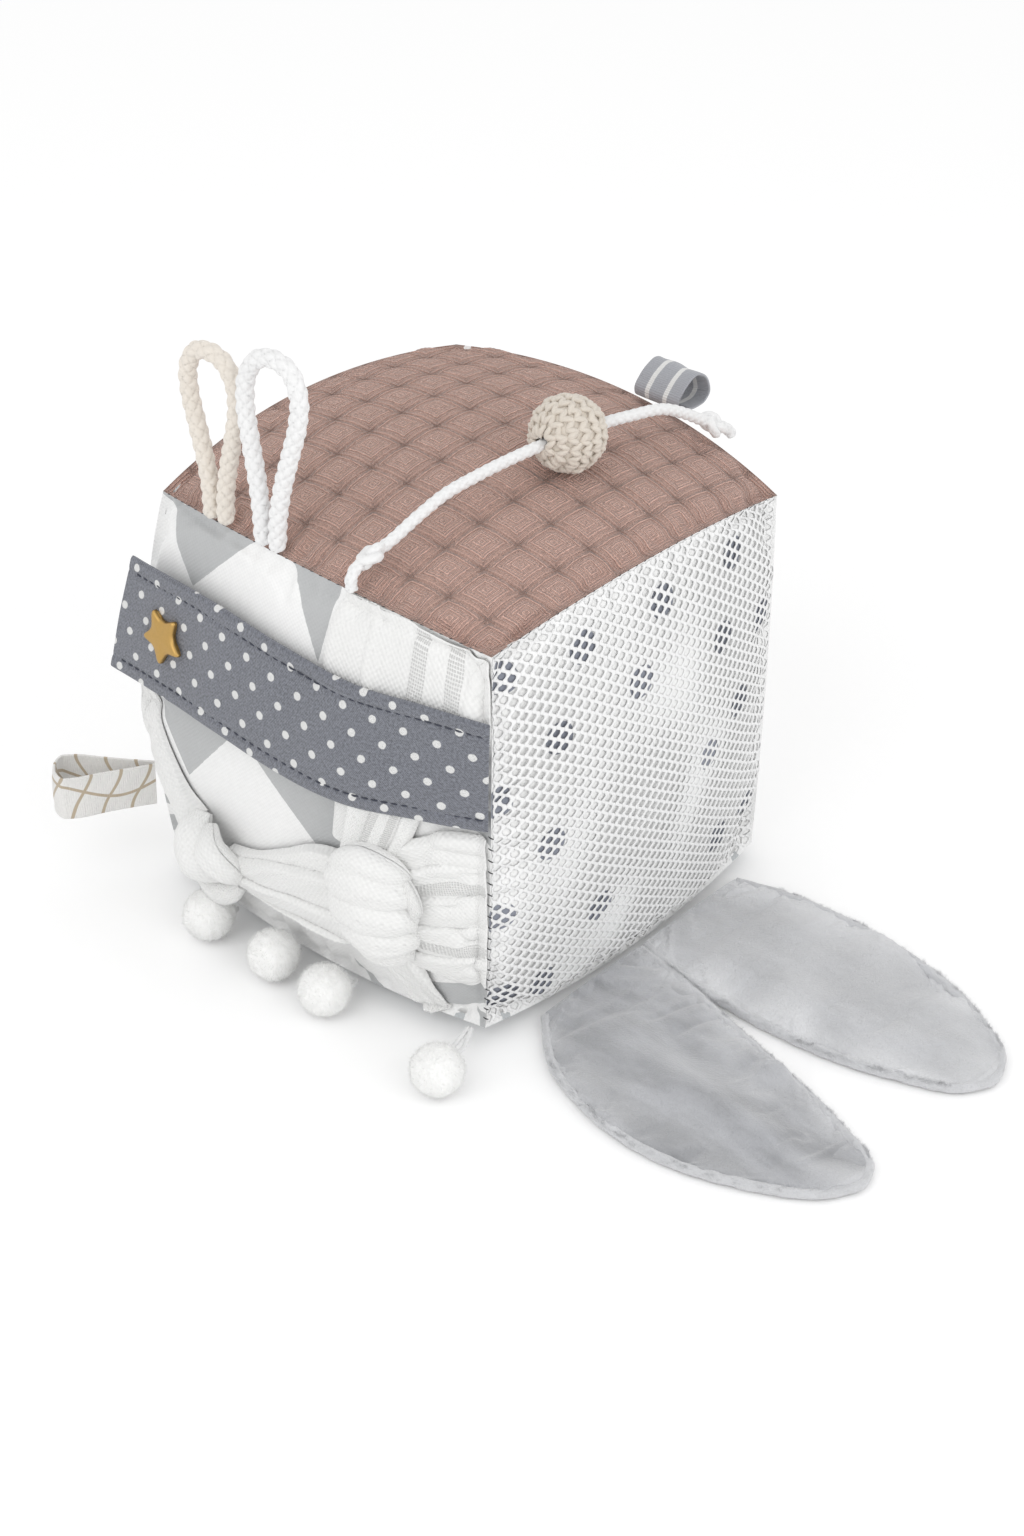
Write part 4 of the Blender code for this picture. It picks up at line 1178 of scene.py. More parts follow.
def make_star():
    """A bevelled five-pointed cap, seated on the strap."""
    middle, normal = strap_frame(np.array([STAR_PLACE_SHARE]), np.array([STAR_RISE_SHARE]))
    middle, normal = middle[0], normal[0]
    side = unit(np.cross((0.0, 0.0, 1.0), normal))
    upper = np.cross(normal, side)
    angle = math.pi * np.arange(10) / 5 - math.pi / 2
    radius = STAR_RADIUS * np.where(np.arange(10) % 2, STAR_INNER_SHARE, 1)
    outline = np.stack([radius * np.cos(angle), radius * np.sin(angle)], axis=-1)
    # Each round cuts every corner, the first two less than the others.
    for number in range(STAR_ROUNDS):
        ahead = np.roll(outline, -1, axis=0)
        near = 0.82 if number < 2 else 0.75
        outline = np.stack([outline * near + ahead * (1 - near), outline * (1 - near) + ahead * near], axis=1)
        outline = outline.reshape(-1, 2)
    rings = []
    for shrink, rise in STAR_RINGS:
        level = STRAP_THICKNESS / 2 + GAP / 2 + STAR_THICKNESS * rise
        flat = outline * shrink
        rings.append(middle + normal * level + flat[:, :1] * side + flat[:, 1:] * upper)
    faces = grid_quads(len(rings), len(outline), wrap=True, flip=True).tolist()
    faces.append(list(range(len(outline)))[::-1])
    make_piece("star", rings, faces, "strap", metal("gold_satin", GOLD, 0.36), "gold", ["star_cap"])


# Cords
LOOP_CORD = 0.0050
LOOP_LEG_GAP = 0.0006
LOOP_HINGE_RISE = 0.0031
LOOP_SIDE_SHARES = ((0.16, 0.14), (0.24, 0.32), (0.38, 0.53), (0.485, 0.71), (0.47, 0.86), (0.28, 0.97))
BEIGE_LOOP = {"place": -0.56, "width": 0.0195, "height": 0.051, "lean": -0.0015, "length": 0.1190}
WHITE_LOOP = {"place": -0.22, "width": 0.021, "height": 0.058, "lean": 0.0035, "length": 0.1330}
BRAID_CARRIERS = 4
BRAID_SHORTEN = 0.35
BRAID_LEVEL = 0.6
BRAID_PITCH = 0.0042
BRAID_HEIGHT = 0.00080
THIN_BRAID_PITCH = 0.0030
THIN_BRAID_HEIGHT = 0.00050
KNOT_BRAID_HEIGHT = 0.00028
BEAD_RADIUS = 0.0118
BEAD_ARC = 0.2350
BEAD_ARC_OVER_CORD = 0.00055
BEAD_PAST_TOP = 0.0060
BEAD_CORD = 0.0033
BEAD_CORD_RISE = 0.0781
BEAD_CORD_SIDEWAYS = 0.0110
BEAD_PLACE_SHARES = (0.397, 0.097)
BEAD_CORD_SHARES = (
    (-1.061, 0.373), (-1.064, 0.573), (-1.043, 0.773), (-0.987, 0.893), (-0.880, 1.060), (-0.747, 1.353),
    (-0.613, 1.600), (-0.467, 1.713), (-0.267, 1.800), (-0.067, 1.827), (0.133, 1.793), (0.333, 1.693),
    (0.507, 1.547), (0.627, 1.253), (0.720, 0.960), (0.800, 0.707), (0.867, 0.520), (0.896, 0.360),
)
BEAD_CORD_KNOT_SHARES = (-0.973, 0.787)
KNOT_TILTS = (0.55, -0.45)
KNOT_STRETCH = 1.25
KNOT_RING = 0.0021
KNOT_SWELL = 0.0011
KNOT_STRAND = 0.0014


def rounded_path(points, radius, count):
    """A path carried past each end to a round tip, and its radii."""
    turns = np.linspace(0, 0.96, count)
    reaches = radius * np.sin(math.pi / 2 * turns)[1:]
    tips = np.cos(math.pi / 2 * turns)[1:]
    start = unit(points[0] - points[1])
    end = unit(points[-1] - points[-2])
    before = points[0] + start * reaches[::-1, None]
    after = points[-1] + end * reaches[:, None]
    path = np.concatenate([before, points, after])
    shares = np.concatenate([tips[::-1], np.ones(len(points)), tips])
    return path, radius * shares


def make_cord_loop(name, colour, shape):
    """A loop of braided cord that stands up from the top front seam."""
    root = skin(np.array([shape["place"], -1.0, 1.0])) + (0, 0, LOOP_HINGE_RISE)
    foot = (LOOP_CORD + LOOP_LEG_GAP) / 2
    right = [(foot, 0.0)]
    right += [(shape["width"] * out, shape["height"] * up) for out, up in LOOP_SIDE_SHARES]
    sides = right + [(0.0, shape["height"])] + [(-x, z) for x, z in reversed(right)]
    route = [root + (x + shape["lean"] * (z / shape["height"]) ** 2, 0, z) for x, z in sides]
    path, radii = rounded_path(along(route, 420), LOOP_CORD / 2, 8)
    points, faces, cloth = tube(path, radii, 40, braid(BRAID_PITCH, BRAID_HEIGHT), up=(0.0, 1.0, 0.0))
    slot = "cord_" + name
    loop = make_piece(
        "loop_" + slot, points, faces, name + "_loop", yarn(slot, colour), slot, ["cord_loop_" + name],
        cloth=cloth,
    )


def bead_cord_route():
    """The cord's route over the top, the bead's middle and its axis, as in the CAD model."""
    run = math.hypot(BEAD_CORD_RISE, BEAD_CORD_SIDEWAYS)
    way = np.array([BEAD_CORD_SIDEWAYS / run, BEAD_CORD_RISE / run, 0.0])
    bead = np.array([*BEAD_PLACE_SHARES, 0.0]) * SEAM_REACH
    seams = MIDDLE + HALF
    route = np.array([
        bead + way * (SEAM_REACH * past) + (0, 0, seams + TOP_RISE * rise) for past, rise in BEAD_CORD_SHARES
    ])
    arc_top = route[:, 2].max() + BEAD_ARC_OVER_CORD
    centre = bead - way * BEAD_PAST_TOP + (0, 0, arc_top - BEAD_ARC)
    past = BEAD_PAST_TOP / BEAD_ARC
    out = way * math.sin(past) + (0, 0, math.cos(past))
    return route, bead, way, centre + out * BEAD_ARC, way * math.cos(past) - (0, 0, math.sin(past))


def knot_line(middle, ahead, tilt):
    """The closed line of a strand tied round a cord."""
    side = unit(np.cross(ahead, (0.0, 0.0, 1.0)))
    upper = np.cross(side, ahead)
    turn = np.linspace(0, 2 * math.pi, 240, endpoint=False)
    swell = KNOT_RING + KNOT_SWELL * np.cos(3 * turn)
    tilted_side = side * math.cos(tilt) + upper * math.sin(tilt)
    tilted_up = upper * math.cos(tilt) - side * math.sin(tilt)
    ring = middle + sum(share[:, None] * way for share, way in (
        (KNOT_STRETCH * swell * np.cos(2 * turn), ahead),
        (swell * np.sin(2 * turn), tilted_side),
        (KNOT_SWELL * np.sin(3 * turn), tilted_up),
    ))
    return np.concatenate([ring, ring[:2]])


def make_bead_cord():
    """The braided cord over the top, with a knot near each end."""
    route, bead, way = bead_cord_route()[:3]
    centre = along(route, 560)
    material = yarn("cord_white_thin", CORD_WHITE, fibre=0.0003)
    points, faces, cloth = tube(centre, BEAD_CORD / 2, 28, braid(THIN_BRAID_PITCH, THIN_BRAID_HEIGHT))
    cord = make_piece(
        "bead_cord_braid", points, faces, "block", material, "cord_white", ["bead_cord"], cloth=cloth
    )
    distance = (centre - bead) @ way
    relief = braid(THIN_BRAID_PITCH, KNOT_BRAID_HEIGHT)
    for number, (share, tilt) in enumerate(zip(BEAD_CORD_KNOT_SHARES, KNOT_TILTS), 1):
        at = int(np.argmin(np.abs(distance - SEAM_REACH * share)))
        line = knot_line(centre[at], unit(centre[at + 4] - centre[at - 4]), tilt)
        points, faces, cloth = tube(line, KNOT_STRAND, 24, relief, up=(0.3, 0.5, 0.8))
        make_piece(
            f"bead_cord_knot_{number}", points, faces, "block", material, "cord_white", cloth=cloth
        )


# Crocheted bead
STITCH_ROUNDS = 8
CROCHET_BASE = 0.0103
CROCHET_BALL_CELLS = (40, 48)
CROCHET_STITCH = 0.0034
CROCHET_LEAST = 5
LOBE_LENGTH = 0.0045
LOBE_RADIUS = 0.00095
LOBE_SPLAY = 0.60
LOBE_ROWS = 9
LOBE_SIDES = 10
LOBE_TWIST = 0.13
BEAD_OPENING = 0.0026
BEAD_OPENING_STITCH = 0.0012


def ball_ways(rings, sides, low, side, upper, axis):
    """Ways out over a ball, ring by ring from near one end of its axis to near the other."""
    polar = np.linspace(low, math.pi - low, rings)[:, None, None]
    turn = (np.arange(sides) * 2 * math.pi / sides)[None, :, None]
    return axis * np.cos(polar) + (side * np.cos(turn) + upper * np.sin(turn)) * np.sin(polar)


def lobe(middle, way, out, length, radius):
    """One plump loop of yarn, with the twist of its plies."""
    side = np.cross(out, way)
    reach = np.cos(np.linspace(0, math.pi, LOBE_ROWS))
    girth = np.sqrt(np.maximum(1 - reach**2, 0.02)) ** 0.8
    angle = np.arange(LOBE_SIDES) * 2 * math.pi / LOBE_SIDES
    twist = 1 + LOBE_TWIST * np.cos(3 * angle[None, :] + 3.5 * reach[:, None])
    thick = radius * girth[:, None] * twist
    bend = radius * 0.9 * reach**2
    across, up = thick * np.cos(angle), thick * np.sin(angle)
    run = length / 2 * reach
    points = (
        middle
        + way * run[:, None, None]
        - out * bend[:, None, None]
        + side * across[..., None]
        + out * (up * 0.9)[..., None]
    )
    cloth = np.stack(np.broadcast_arrays(across, up, run[:, None]), axis=-1)
    return points.reshape(-1, 3), grid_quads(LOBE_ROWS, LOBE_SIDES, wrap=True), cloth


def make_bead():
    """The crocheted cover: rounds of V stitches over a ball, open where the cord goes through."""
    middle, axis = bead_cord_route()[3:]
    side = unit(np.cross((0.0, 0.0, 1.0), axis))
    upper = np.cross(axis, side)
    rng = np.random.default_rng(41)
    low = math.asin(BEAD_OPENING / CROCHET_BASE)
    ball = middle + CROCHET_BASE * ball_ways(*CROCHET_BALL_CELLS, low, side, upper, axis)
    parts = [(ball, grid_quads(*CROCHET_BALL_CELLS, wrap=True, flip=True), ball)]
    reach = BEAD_RADIUS - LOBE_RADIUS * 0.95
    first = math.asin((BEAD_OPENING + BEAD_OPENING_STITCH) / reach)
    for number, tilt in enumerate(np.linspace(first, math.pi - first, STITCH_ROUNDS)):
        count = max(CROCHET_LEAST, round(2 * math.pi * reach * math.sin(tilt) / CROCHET_STITCH))
        for k in range(count):
            turn = 2 * math.pi * (k + 0.5 * (number % 2)) / count + rng.normal(0, 0.04)
            leaned = tilt + rng.normal(0, 0.02)
            level = side * math.cos(turn) + upper * math.sin(turn)
            out = unit(axis * math.cos(leaned) + level * math.sin(leaned))
            round_way = unit(np.cross(axis, out))
            ahead = np.cross(out, round_way)
            for hand in (-1, 1):
                splay = hand * LOBE_SPLAY + rng.normal(0, 0.14)
                way = ahead * math.cos(splay) + round_way * math.sin(splay)
                spot = unit(out * reach + round_way * (hand * CROCHET_STITCH * 0.25))
                spot = middle + spot * (reach + rng.normal(0, 0.00012))
                size = rng.normal(1, 0.07)
                parts.append(lobe(spot, way, out, LOBE_LENGTH * size, LOBE_RADIUS * rng.normal(1, 0.05)))
    points, faces, cloth = join(parts)
    material = yarn("crochet_beige", CROCHET, depth=0.0002)
    make_piece(
        "bead_crochet", points, faces, "bead_turning", material, "crochet", ["bead_cover"], cloth=cloth
    )


# Ribbon tags
RIBBON = 0.0008
TAG_LEG_GAP = 0.0008
TAG_CELLS = (260, 36)
STRIPED_TAG = {
    "width": 0.017, "run": 0.0440, "reaches": (0.0150, 0.0105), "rise": 0.0022, "place": 0.245, "seed": 51,
    "shares": (
        (-0.16, 0.06), (-0.33, 0.21), (-0.35, 0.38), (-0.21, 0.66), (0.0, 0.89), (0.23, 1.0), (0.47, 0.84),
        (0.64, 0.50), (0.68, 0.18), (0.56, 0.0), (0.28, -0.04),
    ),
}
LINED_TAG = {
    "width": 0.015, "run": 0.0750, "reaches": (0.015, 0.030), "out": 0.0008, "height": 0.0330, "seed": 53,
    "way": (-0.67, -0.74),
    "shares": (
        (-0.10, 0.12), (-0.26, 0.50), (-0.44, 0.88), (-0.43, 0.97), (-0.36, 1.0), (0.36, 1.0), (0.43, 0.97),
        (0.44, 0.88), (0.26, 0.50), (0.10, 0.12),
    ),
}
TAPE_SPECK = 0.0009
TAPE_PATCH = 0.006
TAPE_RIB = 0.0007
TAPE_BUMP = 0.00014
STRIPE_PLACE = 0.0034
STRIPE_WIDTH = 0.0016
STRIPE_EDGE = 0.0001
STRIPE_RAGGED = 0.0003
LINE_WIDTH = 0.0011
LINE_BEND = 0.0034
LINE_REPEAT = 0.0095


def tape(name, colour, line_colour, lines):
    """Woven tape with fine cross ribs. lines(tree, parts, speck) is where its second colour is, 0 to 1."""
    made, tree, shader, cloth = start_material(name, 0.75, 0.3)
    parts = node(tree, "SeparateXYZ", cloth)
    speck = noise(tree, cloth, TAPE_SPECK)
    patches = math_node(tree, "MULTIPLY", noise(tree, cloth, TAPE_PATCH), 0.4)
    shade = mixed(tree, speck, rgba(colour, 0.88), rgba(colour, 1.1))
    shade = mixed(tree, patches, shade, rgba(colour, 0.85))
    painted = mixed(tree, lines(tree, parts, speck), shade, rgba(line_colour))
    tree.links.new(painted, shader.inputs["Base Color"])
    ribs = sines(tree, parts.outputs[1], TAPE_RIB)
    set_bump(tree, shader, math_node(tree, "MULTIPLY_ADD", ribs, 0.35, speck), TAPE_BUMP)
    return made


def stripe(tree, value, place, width):
    """1 within half a width of a place, with a soft edge."""
    far = math_node(tree, "ABSOLUTE", math_node(tree, "SUBTRACT", value, place))
    return within(tree, far, width / 2, STRIPE_EDGE)


def two_stripes(tree, parts, speck):
    """A stripe on each side of the tape's middle."""
    across = math_node(tree, "ABSOLUTE", parts.outputs[0])
    return stripe(tree, vary(tree, across, speck, STRIPE_RAGGED), STRIPE_PLACE, STRIPE_WIDTH)


def drawn_lines(tree, parts, speck):
    """Thin tan lines far apart: some slant across the tape, and one wanders along it."""
    across, run = parts.outputs[0], parts.outputs[1]
    wander = math_node(tree, "MULTIPLY_ADD", sines(tree, run, 0.045), LINE_BEND, across)
    slant = math_node(tree, "MULTIPLY_ADD", sines(tree, across, 0.034), LINE_BEND, run)
    slant = math_node(tree, "PINGPONG", slant, LINE_REPEAT)
    return math_node(
        tree, "MAXIMUM", stripe(tree, wander, 0.0016, LINE_WIDTH), stripe(tree, slant, 0.0048, LINE_WIDTH)
    )


def make_tag(name, shape, root, first, second, width_way, material):
    """A ribbon folded into a loop along an outline in a plane, with both ends in the seam."""
    foot = (TAG_LEG_GAP + RIBBON) / 2
    sides = [(x * shape["reaches"][0], y * shape["reaches"][1], 0) for x, y in shape["shares"]]
    outline = along([(-foot, 0, 0)] + sides + [(foot, 0, 0)], 300)[:, :2]
    run = lengths_along(outline)
    first, second, width_way = (np.array(way, float) for way in (first, second, width_way))

    def place_at(t, s):
        t, s = np.broadcast_arrays(t, s)
        at = np.clip(t, 0, 1) * run[-1]
        x, y = (np.interp(at, run, outline[:, k]) for k in range(2))
        free = np.sin(math.pi * np.clip(t, 0, 1))
        soft = 0.0003 * free * waves(t * 3, s * 2, shape["seed"])
        wide = shape["width"] * (1 + 0.02 * free * waves(t * 3, s * 0, shape["seed"] + 1))
        return (
            root + first * (x + soft)[..., None] + second * (y + soft)[..., None]
            + width_way * (s * wide)[..., None]
        )

    points, faces, t, s = band(place_at, *TAG_CELLS, RIBBON)
    cloth = np.stack([s * shape["width"], t * run[-1], np.zeros_like(t)], axis=-1)
    tag = make_piece(
        f"tag_{name}_tape", points, faces, name + "_tag", material, name + "_ribbon", ["tag_" + name],
        cloth=cloth,
    )


def make_tags():
    """The striped ribbon in the top back seam and the lined one in the front left seam."""
    root = skin(np.array([STRIPED_TAG["place"], 1.0, 1.0])) + (0, 0, STRIPED_TAG["rise"])
    grey = tape("tape_striped", TAPE_GREY, TAPE_STRIPE, two_stripes)
    make_tag("striped", STRIPED_TAG, root, (0, 1, 0), (0, 0, 1), (1, 0, 0), grey)

    out = unit(np.array([*LINED_TAG["way"], 0.0]))
    side = np.array([out[1], -out[0], 0.0])
    seam = skin(np.array([-1.0, -1.0, (LINED_TAG["height"] - MIDDLE) / HALF]))
    root = np.array([seam[0], seam[1], LINED_TAG["height"]]) + out * LINED_TAG["out"]
    white = tape("tape_lined", TAPE_WHITE, TAN, drawn_lines)
    make_tag("lined", LINED_TAG, root, side, out, np.cross(side, out), white)


# Pompoms: each one's place along the seam, then how far sideways and out it hangs, in radii
POMPOM_SHARES = ((-0.52, 0.0, 1.35), (-0.075, 0.0, 1.3), (0.285, 0.0, 1.6), (0.93, 0.95, 2.75))
POMPOM_RADIUS = 0.0085
POMPOM_CELLS = (60, 90)
POMPOM_INSET = 0.0006
POMPOM_END = 0.001
LUMP_PITCH = 3.2
LUMP_HEIGHT = 0.022
FUZZ_COUNT = 2400
FUZZ_LENGTH = 0.0013
FUZZ_RADIUS = 0.00007
FUZZ_INSET = 0.0008
FUZZ_LEAN = 0.45
FUZZ_BEND = 0.25
# Each row of a fibre: how far along it the row is, and how thick the fibre is there
FUZZ_ROWS = ((0.0, 1.0), (0.55, 0.8), (1.0, 0.15))
THREAD = 0.0016
THREAD_HINGE_OUT = 0.0009
THREAD_INTO_BALL = 0.0004
STRAND_RADIUS = 0.0007
STRAND_APART = 0.0008
STRAND_PLY = 0.00012
STRAND_TWIST = 3600


def fibonacci_ball(count):
    """Ways out, spread evenly over a ball."""
    k = np.arange(count) + 0.5
    z = 1 - 2 * k / count
    turn = k * math.pi * (3 - math.sqrt(5))
    level = np.sqrt(1 - z * z)
    return np.stack([level * np.cos(turn), level * np.sin(turn), z], axis=-1)


def fuzz(roots, ways, lengths, radius, seed):
    """Short tapered fibres that stand on roots, none below the floor, as points, faces and coordinates."""
    rng = np.random.default_rng(seed)
    ways = unit(ways + rng.normal(0, FUZZ_LEAN, ways.shape))
    helper = unit(rng.normal(0, 1, ways.shape))
    side = unit(np.cross(ways, helper))
    upper = np.cross(side, ways)
    bend = unit(rng.normal(0, 1, ways.shape)) * (lengths * FUZZ_BEND)[:, None]
    angle = np.arange(3) * 2 * math.pi / 3
    rings = []
    for reach, thick in FUZZ_ROWS:
        middle = roots + ways * (lengths * reach)[:, None] + bend * reach**2
        rings.append(
            middle[:, None, :]
            + side[:, None, :] * (radius * thick * np.cos(angle))[None, :, None]
            + upper[:, None, :] * (radius * thick * np.sin(angle))[None, :, None]
        )
    points = floored(np.stack(rings, axis=1).reshape(-1, 3))
    return points, repeated(grid_quads(3, 3, wrap=True), 9, len(roots)), points


def pompom_lumps(ways, number):
    """How far a pompom stands out each way, as a share of its radius."""
    x, y, z = (ways * LUMP_PITCH).T
    lumps = waves(x, y, 60 + number) + waves(y, z, 70 + number) + waves(z, x, 80 + number)
    return 1 + LUMP_HEIGHT * lumps.T / 2


def make_pompom(number, share, sideways, out, material, thread_material):
    """A fuzzy ball on a double thread."""
    root = skin(np.array([share, -1.0, -1.0])) + (0, -THREAD_HINGE_OUT, 0)
    middle = np.array([root[0] + POMPOM_RADIUS * sideways, root[1] - POMPOM_RADIUS * out, POMPOM_RADIUS])
    body = f"pompom_hanging_{number}"
    ways = ball_ways(*POMPOM_CELLS, POMPOM_END, *np.eye(3))
    radius = (POMPOM_RADIUS - POMPOM_INSET) * pompom_lumps(ways, number)
    ball = floored(middle + ways * radius[..., None])
    hairs = fibonacci_ball(FUZZ_COUNT)
    roots = middle + hairs * ((POMPOM_RADIUS - FUZZ_INSET) * pompom_lumps(hairs, number))[:, None]
    lengths = FUZZ_LENGTH * np.random.default_rng(90 + number).uniform(0.5, 1.2, FUZZ_COUNT)
    points, faces, cloth = join([
        (ball, grid_quads(*POMPOM_CELLS, wrap=True), ball),
        fuzz(roots, hairs, lengths, FUZZ_RADIUS, 100 + number),
    ])
    make_piece(
        f"pompom_ball_{number}", points, faces, body, material, "pompom_yarn", [f"pompom_{number}"],
        cloth=cloth,
    )

    end = root + (middle - root) * (1 - (POMPOM_RADIUS - THREAD_INTO_BALL) / np.linalg.norm(middle - root))
    sag = np.array([0, 0, THREAD / 2]) * np.linalg.norm(root - end) / POMPOM_RADIUS
    apart = unit(np.cross(unit(middle - root), (0.0, 0.0, 1.0)))
    strands = []
    for hand in (-1, 1):
        spread = apart * hand * STRAND_APART
        route = [root + spread * 0.6, root + (end - root) * 0.5 - sag + spread * 1.8, end + spread]
        points, faces, cloth = tube(
            along(route, 40), STRAND_RADIUS, 14,
            lambda angle, run: STRAND_PLY * np.cos(3 * angle + run * STRAND_TWIST),
        )
        strands.append((floored(points), faces, cloth))
    points, faces, cloth = join(strands)
    make_piece(
        f"pompom_strands_{number}", points, faces, body, thread_material, "cord_white",
        [f"pompom_thread_{number}"], cloth=cloth,
    )


def make_pompoms():
    """White pompoms on double threads from the bottom front seam."""
    material = yarn("pompom_white", POMPOM_WHITE, fibre=0.0008, depth=0.0004, roughness=0.95, sheen=0.5)
    thread_material = yarn("thread_white", CORD_WHITE, fibre=0.0003)
    for number, shares in enumerate(POMPOM_SHARES, 1):
        make_pompom(number, *shares, material, thread_material)


# Muslin tied on the front
MUSLIN = 0.0007
MUSLIN_LIFT = 0.0006
MUSLIN_CELLS = (150, 150)
# Each band's middle line: across and up the front, and how wide it is there
MUSLIN_BANDS = {
    "upright": {
        "route": (
            (0.620, 0.998, 0.74), (0.590, 0.70, 0.83), (0.56, 0.45, 0.70), (0.50, 0.22, 0.46),
            (0.475, 0.05, 0.38), (0.45, -0.10, 0.30),
        ),
        "flat": (0.050, 0.070), "folds": 3.5, "start": 0.31, "twist": 0.0, "open": (-0.26, -0.06),
        "depth": (0.0004, 0.0007, 0.0007, 0.0010, 0.0016, 0.0022),
        "bulge": (0.0, 0.0, 0.0, 0.0005, 0.003, 0.007),
    },
    "tail": {
        "route": ((0.55, -0.62, 0.20), (0.64, -0.80, 0.17), (0.70, -0.90, 0.15), (0.74, -0.995, 0.12)),
        "flat": (0.017, 0.028), "folds": 1.0, "start": 0.2, "twist": 0.3, "open": (),
        "depth": (0.0014, 0.0012, 0.0010, 0.0004), "bulge": (0.006, 0.001, 0.0, 0.0),
    },
    "across": {
        "route": ((0.998, -0.315, 0.83), (0.90, -0.32, 0.82), (0.78, -0.34, 0.76), (0.58, -0.36, 0.66)),
        "flat": (0.060, 0.028), "folds": 5.0, "start": -0.32, "twist": 0.1, "open": (0.17, -0.24),
        "depth": (0.0004, 0.0012, 0.0016, 0.0022), "bulge": (0.0, 0.0004, 0.0016, 0.004),
    },
    "bridge": {
        "route": (
            (0.44, -0.44, 0.48), (0.25, -0.48, 0.50), (0.05, -0.54, 0.38), (-0.15, -0.59, 0.26),
            (-0.36, -0.62, 0.17),
        ),
        "flat": (0.034, 0.052), "folds": 2.6, "start": 0.5, "twist": -0.4, "open": (),
        "depth": (0.0024, 0.0026, 0.0024, 0.0020, 0.0014), "bulge": (0.005, 0.004, 0.004, 0.005, 0.006),
    },
    "corner_tail": {
        "route": (
            (-0.995, 0.05, 0.10), (-0.95, -0.14, 0.17), (-0.86, -0.32, 0.19), (-0.72, -0.46, 0.17),
            (-0.56, -0.52, 0.15),
        ),
        "flat": (0.018, 0.045), "folds": 1.6, "start": 0.5, "twist": 0.4, "open": (),
        "depth": (0.0004, 0.0010, 0.0012, 0.0014, 0.0014), "bulge": (0.0, 0.001, 0.002, 0.004, 0.008),
    },
}
LARGE_KNOT_PLACE = (0.56, -0.30)
SMALL_KNOT_PLACE = (-0.47, -0.575)
# Each roll of cloth in a knot: points across, up and out of the knot's foot in millimetres with the
# roll's radius there, how flat it is, and its folds.
LARGE_KNOT_ROLLS = (
    (((-16, 3, 5, 4.5), (-11, 9, 8, 6.0), (-4, 13, 9, 6.6), (3, 12, 8, 5.8), (7.5, 8, 5, 4.0)), 0.85, 3),
    (((-18, 0, 4.5, 4.6), (-12, 4, 8.5, 7.2), (-4, 6, 10, 7.8), (5, 5, 8.8, 6.6), (9.5, 2, 5, 4.2)), 0.85, 3),
    ((
        (-18.5, -5, 4, 4.6), (-12, -4, 8.3, 7.2), (-3, -3, 10.3, 8.0), (5.5, -4, 8.8, 7.0), (9.5, -7, 5, 4.4)
    ), 0.85, 3),
    ((
        (-15, -11, 4, 4.4), (-9, -11, 7.8, 6.8), (0, -11.5, 9.6, 7.2), (7, -12, 7, 5.8), (9.5, -14, 4, 3.8)
    ), 0.85, 3),
    (((-11, -17, 3.5, 4.0), (-4, -17.5, 6.8, 5.8), (3, -18.5, 6.8, 5.2), (8, -20, 3.5, 3.2)), 0.85, 3),
    (((6, 11, 6, 2.2), (10, 6.5, 7.6, 2.7), (11, 0, 7, 2.5), (8, -4, 6.5, 2.0)), 0.7, 2),
)
SMALL_KNOT_ROLLS = (
    (((-3, 11, 3, 4.4), (-2, 6, 8.2, 7.0), (2, -1, 9.8, 8.2), (8, -5, 6.4, 6.2)), 0.85, 3),
    (((2, 9, 5, 4.2), (8, 5, 9.6, 6.0), (13, 0, 8, 5.8), (15, -4, 5, 4.2)), 0.85, 3),
    ((
        (-6, -3, 4, 3.0), (-4, -9, 6.5, 3.8), (3, -13, 7.6, 4.0), (11, -10.5, 7, 3.8), (15, -6, 5.4, 3.2)
    ), 0.8, 2),
)
FOLD_RELIEF = 0.00042
FOLD_EDGE = 0.10
FOLD_RIM = 0.04
OPEN_WIDTH = 0.0042
OPEN_EDGE = 0.0003
OPEN_HOLE = 0.00125
NO_OPENWORK = 1.0
MUSLIN_WEAVE = 0.0008
MUSLIN_CRINKLE = 0.0028
MUSLIN_SLUB = 0.0009
MUSLIN_BUMP = 0.00042


